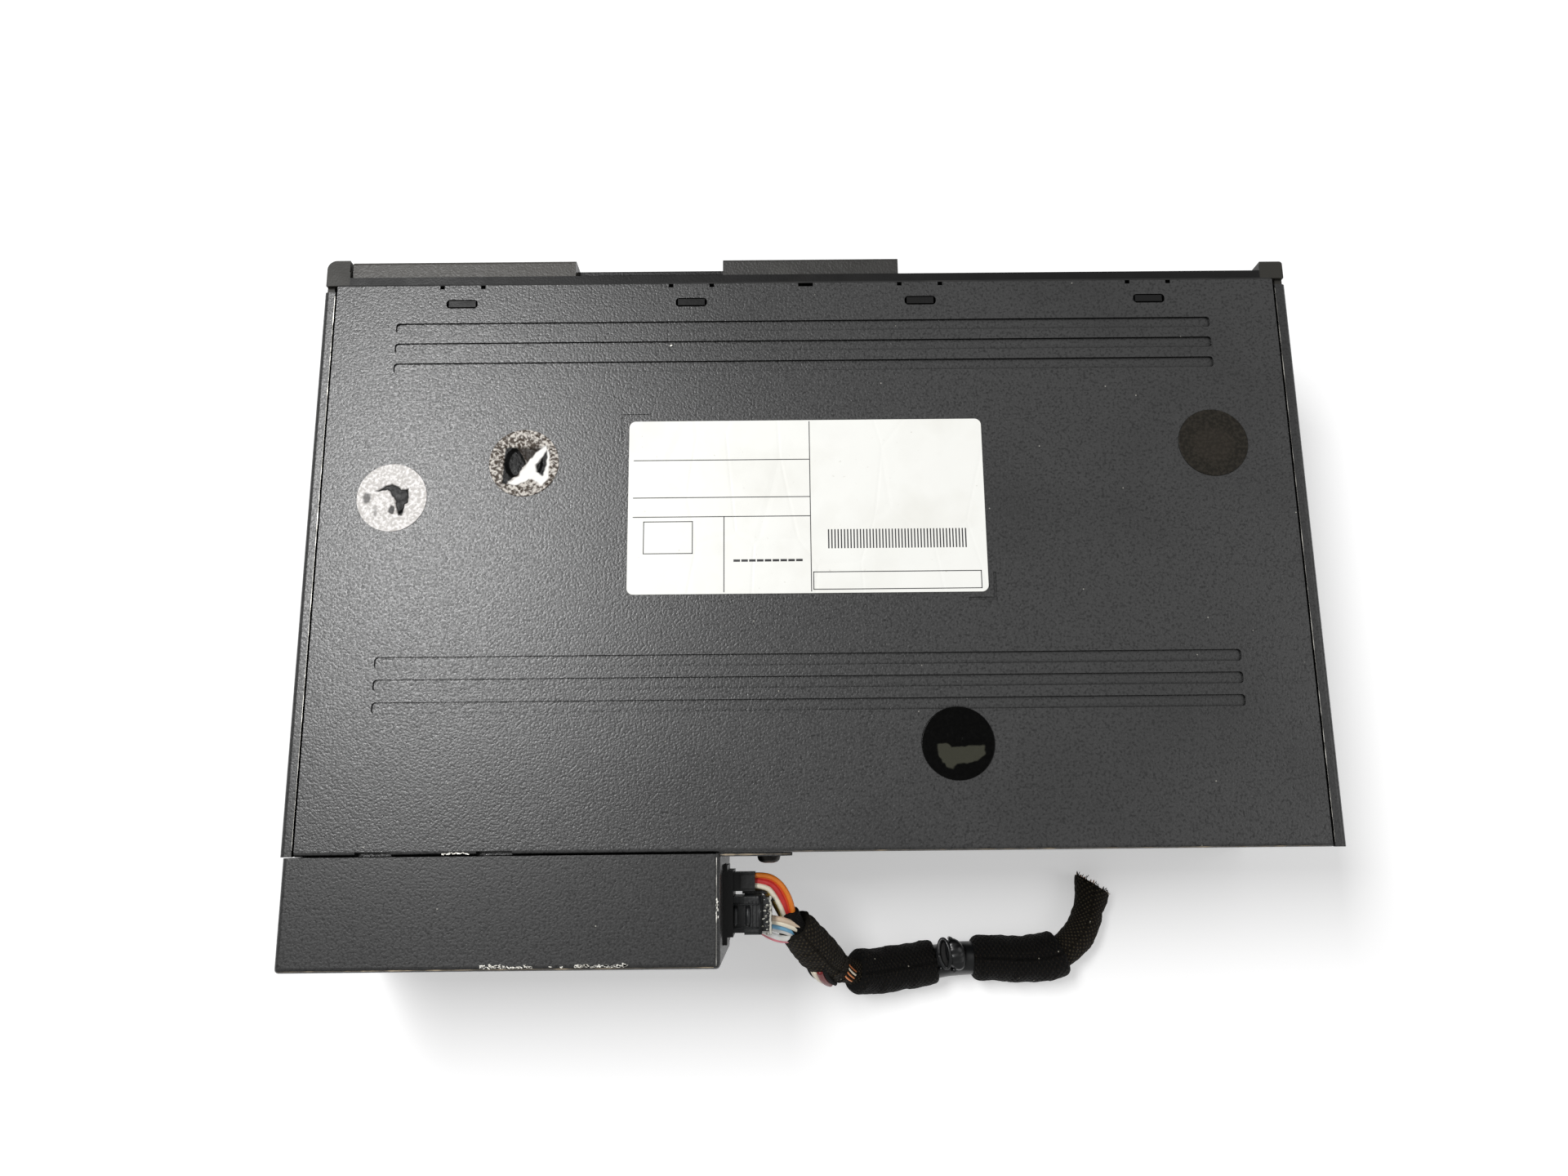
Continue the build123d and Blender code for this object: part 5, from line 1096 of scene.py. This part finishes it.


# ---- paint chips, scratches and painted edge highlights ----
def build_chips():
    """Bare spots where paint has come off edges, edges worn to a bright bare line, and thin tan
    lines of painted highlight along edges that catch the lamp.
    """
    rng = random.Random(23)
    heap = Heap()

    def spot(x, y, z, long, wide, turn=0.0):
        outline = []
        for k in range(9):
            a = 2 * math.pi * k / 9
            r = rng.uniform(0.55, 1.0)
            px, py = math.cos(a) * long * r, math.sin(a) * wide * r
            outline.append((x + px * math.cos(turn) - py * math.sin(turn),
                y + px * math.sin(turn) + py * math.cos(turn)))
        heap.slab(outline, z - 0.03, z + 0.02)

    def worn_edge(start, end, z, most, seed, look):
        """A thin line whose width comes and goes: bare wear with look 0, a painted highlight with
        look 1.
        """
        start, end = Vector(start), Vector(end)
        ahead = (end - start).normalized()
        side = Vector((-ahead.y, ahead.x))
        count = max(8, int((end - start).length / 0.9))
        left, right = [], []
        for i in range(count + 1):
            p = start.lerp(end, i / count)
            wide = most * (0.12 + max(
                0.0,
                noise.noise(Vector((i * 0.31, seed, 0.5)))
                + 0.3 * noise.noise(Vector((i * 1.3, seed, 4.5))),
            ))
            left.append(p + side * wide)
            right.append(p - side * wide)
        for i in range(count):
            quad = [right[i], right[i + 1], left[i + 1], left[i]]
            heap.slab([(q.x, q.y) for q in quad], z - 0.03, z + 0.015, look)

    for x0, x1, count in ((75.6, 63.6, 46), (54.6, 42.8, 52), (60, 56, 3)):
        for _ in range(count):
            x = rng.uniform(x1, x0)
            spot(x, 95.75 - abs(rng.gauss(0, 0.28)), TOP, rng.uniform(0.2, 0.75),
                rng.uniform(0.1, 0.28), rng.gauss(0, 0.3))
    for _ in range(20):
        spot(rng.uniform(79.5, 86.0), rng.uniform(70.3, 70.8), TOP - 0.02, rng.uniform(0.15, 0.7),
            rng.uniform(0.06, 0.14))
    for _ in range(14):
        spot(rng.uniform(21.9, 22.5), rng.uniform(81, 85.8), TOP - 0.02, rng.uniform(0.08, 0.2),
            rng.uniform(0.15, 0.6))
    spot(34.2, -54.1, TOP, 0.42, 0.2, 0.4)
    worn_edge((120.12, -68.4), (120.12, 69.5), TOP, 0.09, 1.0, 0)
    worn_edge((-120.12, -68.4), (-120.12, 70.0), TOP, 0.09, 2.0, 0)
    # painted highlight: the thin tan lines below run along rear edges that catch the lamp
    worn_edge((22.4, 71.4), (5.4, 71.4), 59.0, 0.3, 3.0, 1)
    worn_edge((4.6, 70.75), (-118.0, 70.75), TOP - 0.03, 0.14, 4.0, 1)
    worn_edge((22.45, 72.0), (22.45, 95.8), TOP - 0.03, 0.14, 5.0, 0)
    worn_edge((121.8, 96.1), (23.0, 96.1), TOP - 0.12, 0.16, 6.0, 1)
    # painted highlight colour for the tan edge lines
    painted_edge_highlight = bare_metal("painted_edge_highlight_tan", tone(150, 138, 120), tone(96, 88, 78), 0.5)
    heap.piece("paint_chips_and_edge_highlights", [CHIP, painted_edge_highlight], slot="zinc_steel", smooth=False)
    seam = Heap()
    seam.bar(-119.3, -71.34, 119.3, -70.96, TOP - 0.05, TOP + 0.01)
    seam.piece("front_seam", LOOKS["rubber_black"], slot="rubber_black", smooth=False)


build_chips()


# ---- scales on the two angle dials ----
DIAL_Y, DIAL_Z = 8.0, 38.0


def build_dial_scale(side):
    """Ticks and plain numbers for the mounting angle, on the side wall round a dial."""
    heap = Heap()
    face = side * HALF_W
    for degrees in range(0, 91, 15):
        a = math.radians(degrees + 45)
        reach = 12.4 if degrees % 45 == 0 else 11.6
        ends = [Vector((face + side * 0.02, DIAL_Y - math.cos(a) * r * side,
            DIAL_Z + math.sin(a) * r)) for r in (10.3, reach)]
        heap.add(*tube(ends, 0.16, 6)[:2])
    heap.piece("dial_ticks_left" if side > 0 else "dial_ticks_right", LOOKS["label_film"],
        slot="label_film")
    for degrees in (0, 45, 90):
        a = math.radians(degrees + 45)
        data = bpy.data.curves.new("number", "FONT")
        data.body = str(degrees)
        data.size = 3.4 * MM
        data.extrude = 0.03 * MM
        data.align_x = data.align_y = "CENTER"
        text = bpy.data.objects.new("number", data)
        bpy.context.scene.collection.objects.link(text)
        mesh = bpy.data.meshes.new_from_object(text)
        bpy.data.objects.remove(text)
        bpy.data.curves.remove(data)
        right, up = Vector((0, side, 0)), Vector((0, 0, 1))
        place = Vector((face + side * 0.03, DIAL_Y - math.cos(a) * 15.0 * side,
            DIAL_Z + math.sin(a) * 14.4)) * MM
        for vertex in mesh.vertices:
            x, y, z = vertex.co
            vertex.co = place + right * x + up * y + Vector((side, 0, 0)) * z
        mesh.materials.clear()
        mesh.materials.append(LOOKS["label_film"])
        name = f"dial_number_{'left' if side > 0 else 'right'}_{degrees}"
        obj = bpy.data.objects.new(name, mesh)
        bpy.context.scene.collection.objects.link(obj)
        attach(obj, "root")


build_dial_scale(1)
build_dial_scale(-1)

bpy.context.scene.view_settings.view_transform = "Standard"
bpy.context.view_layer.update()
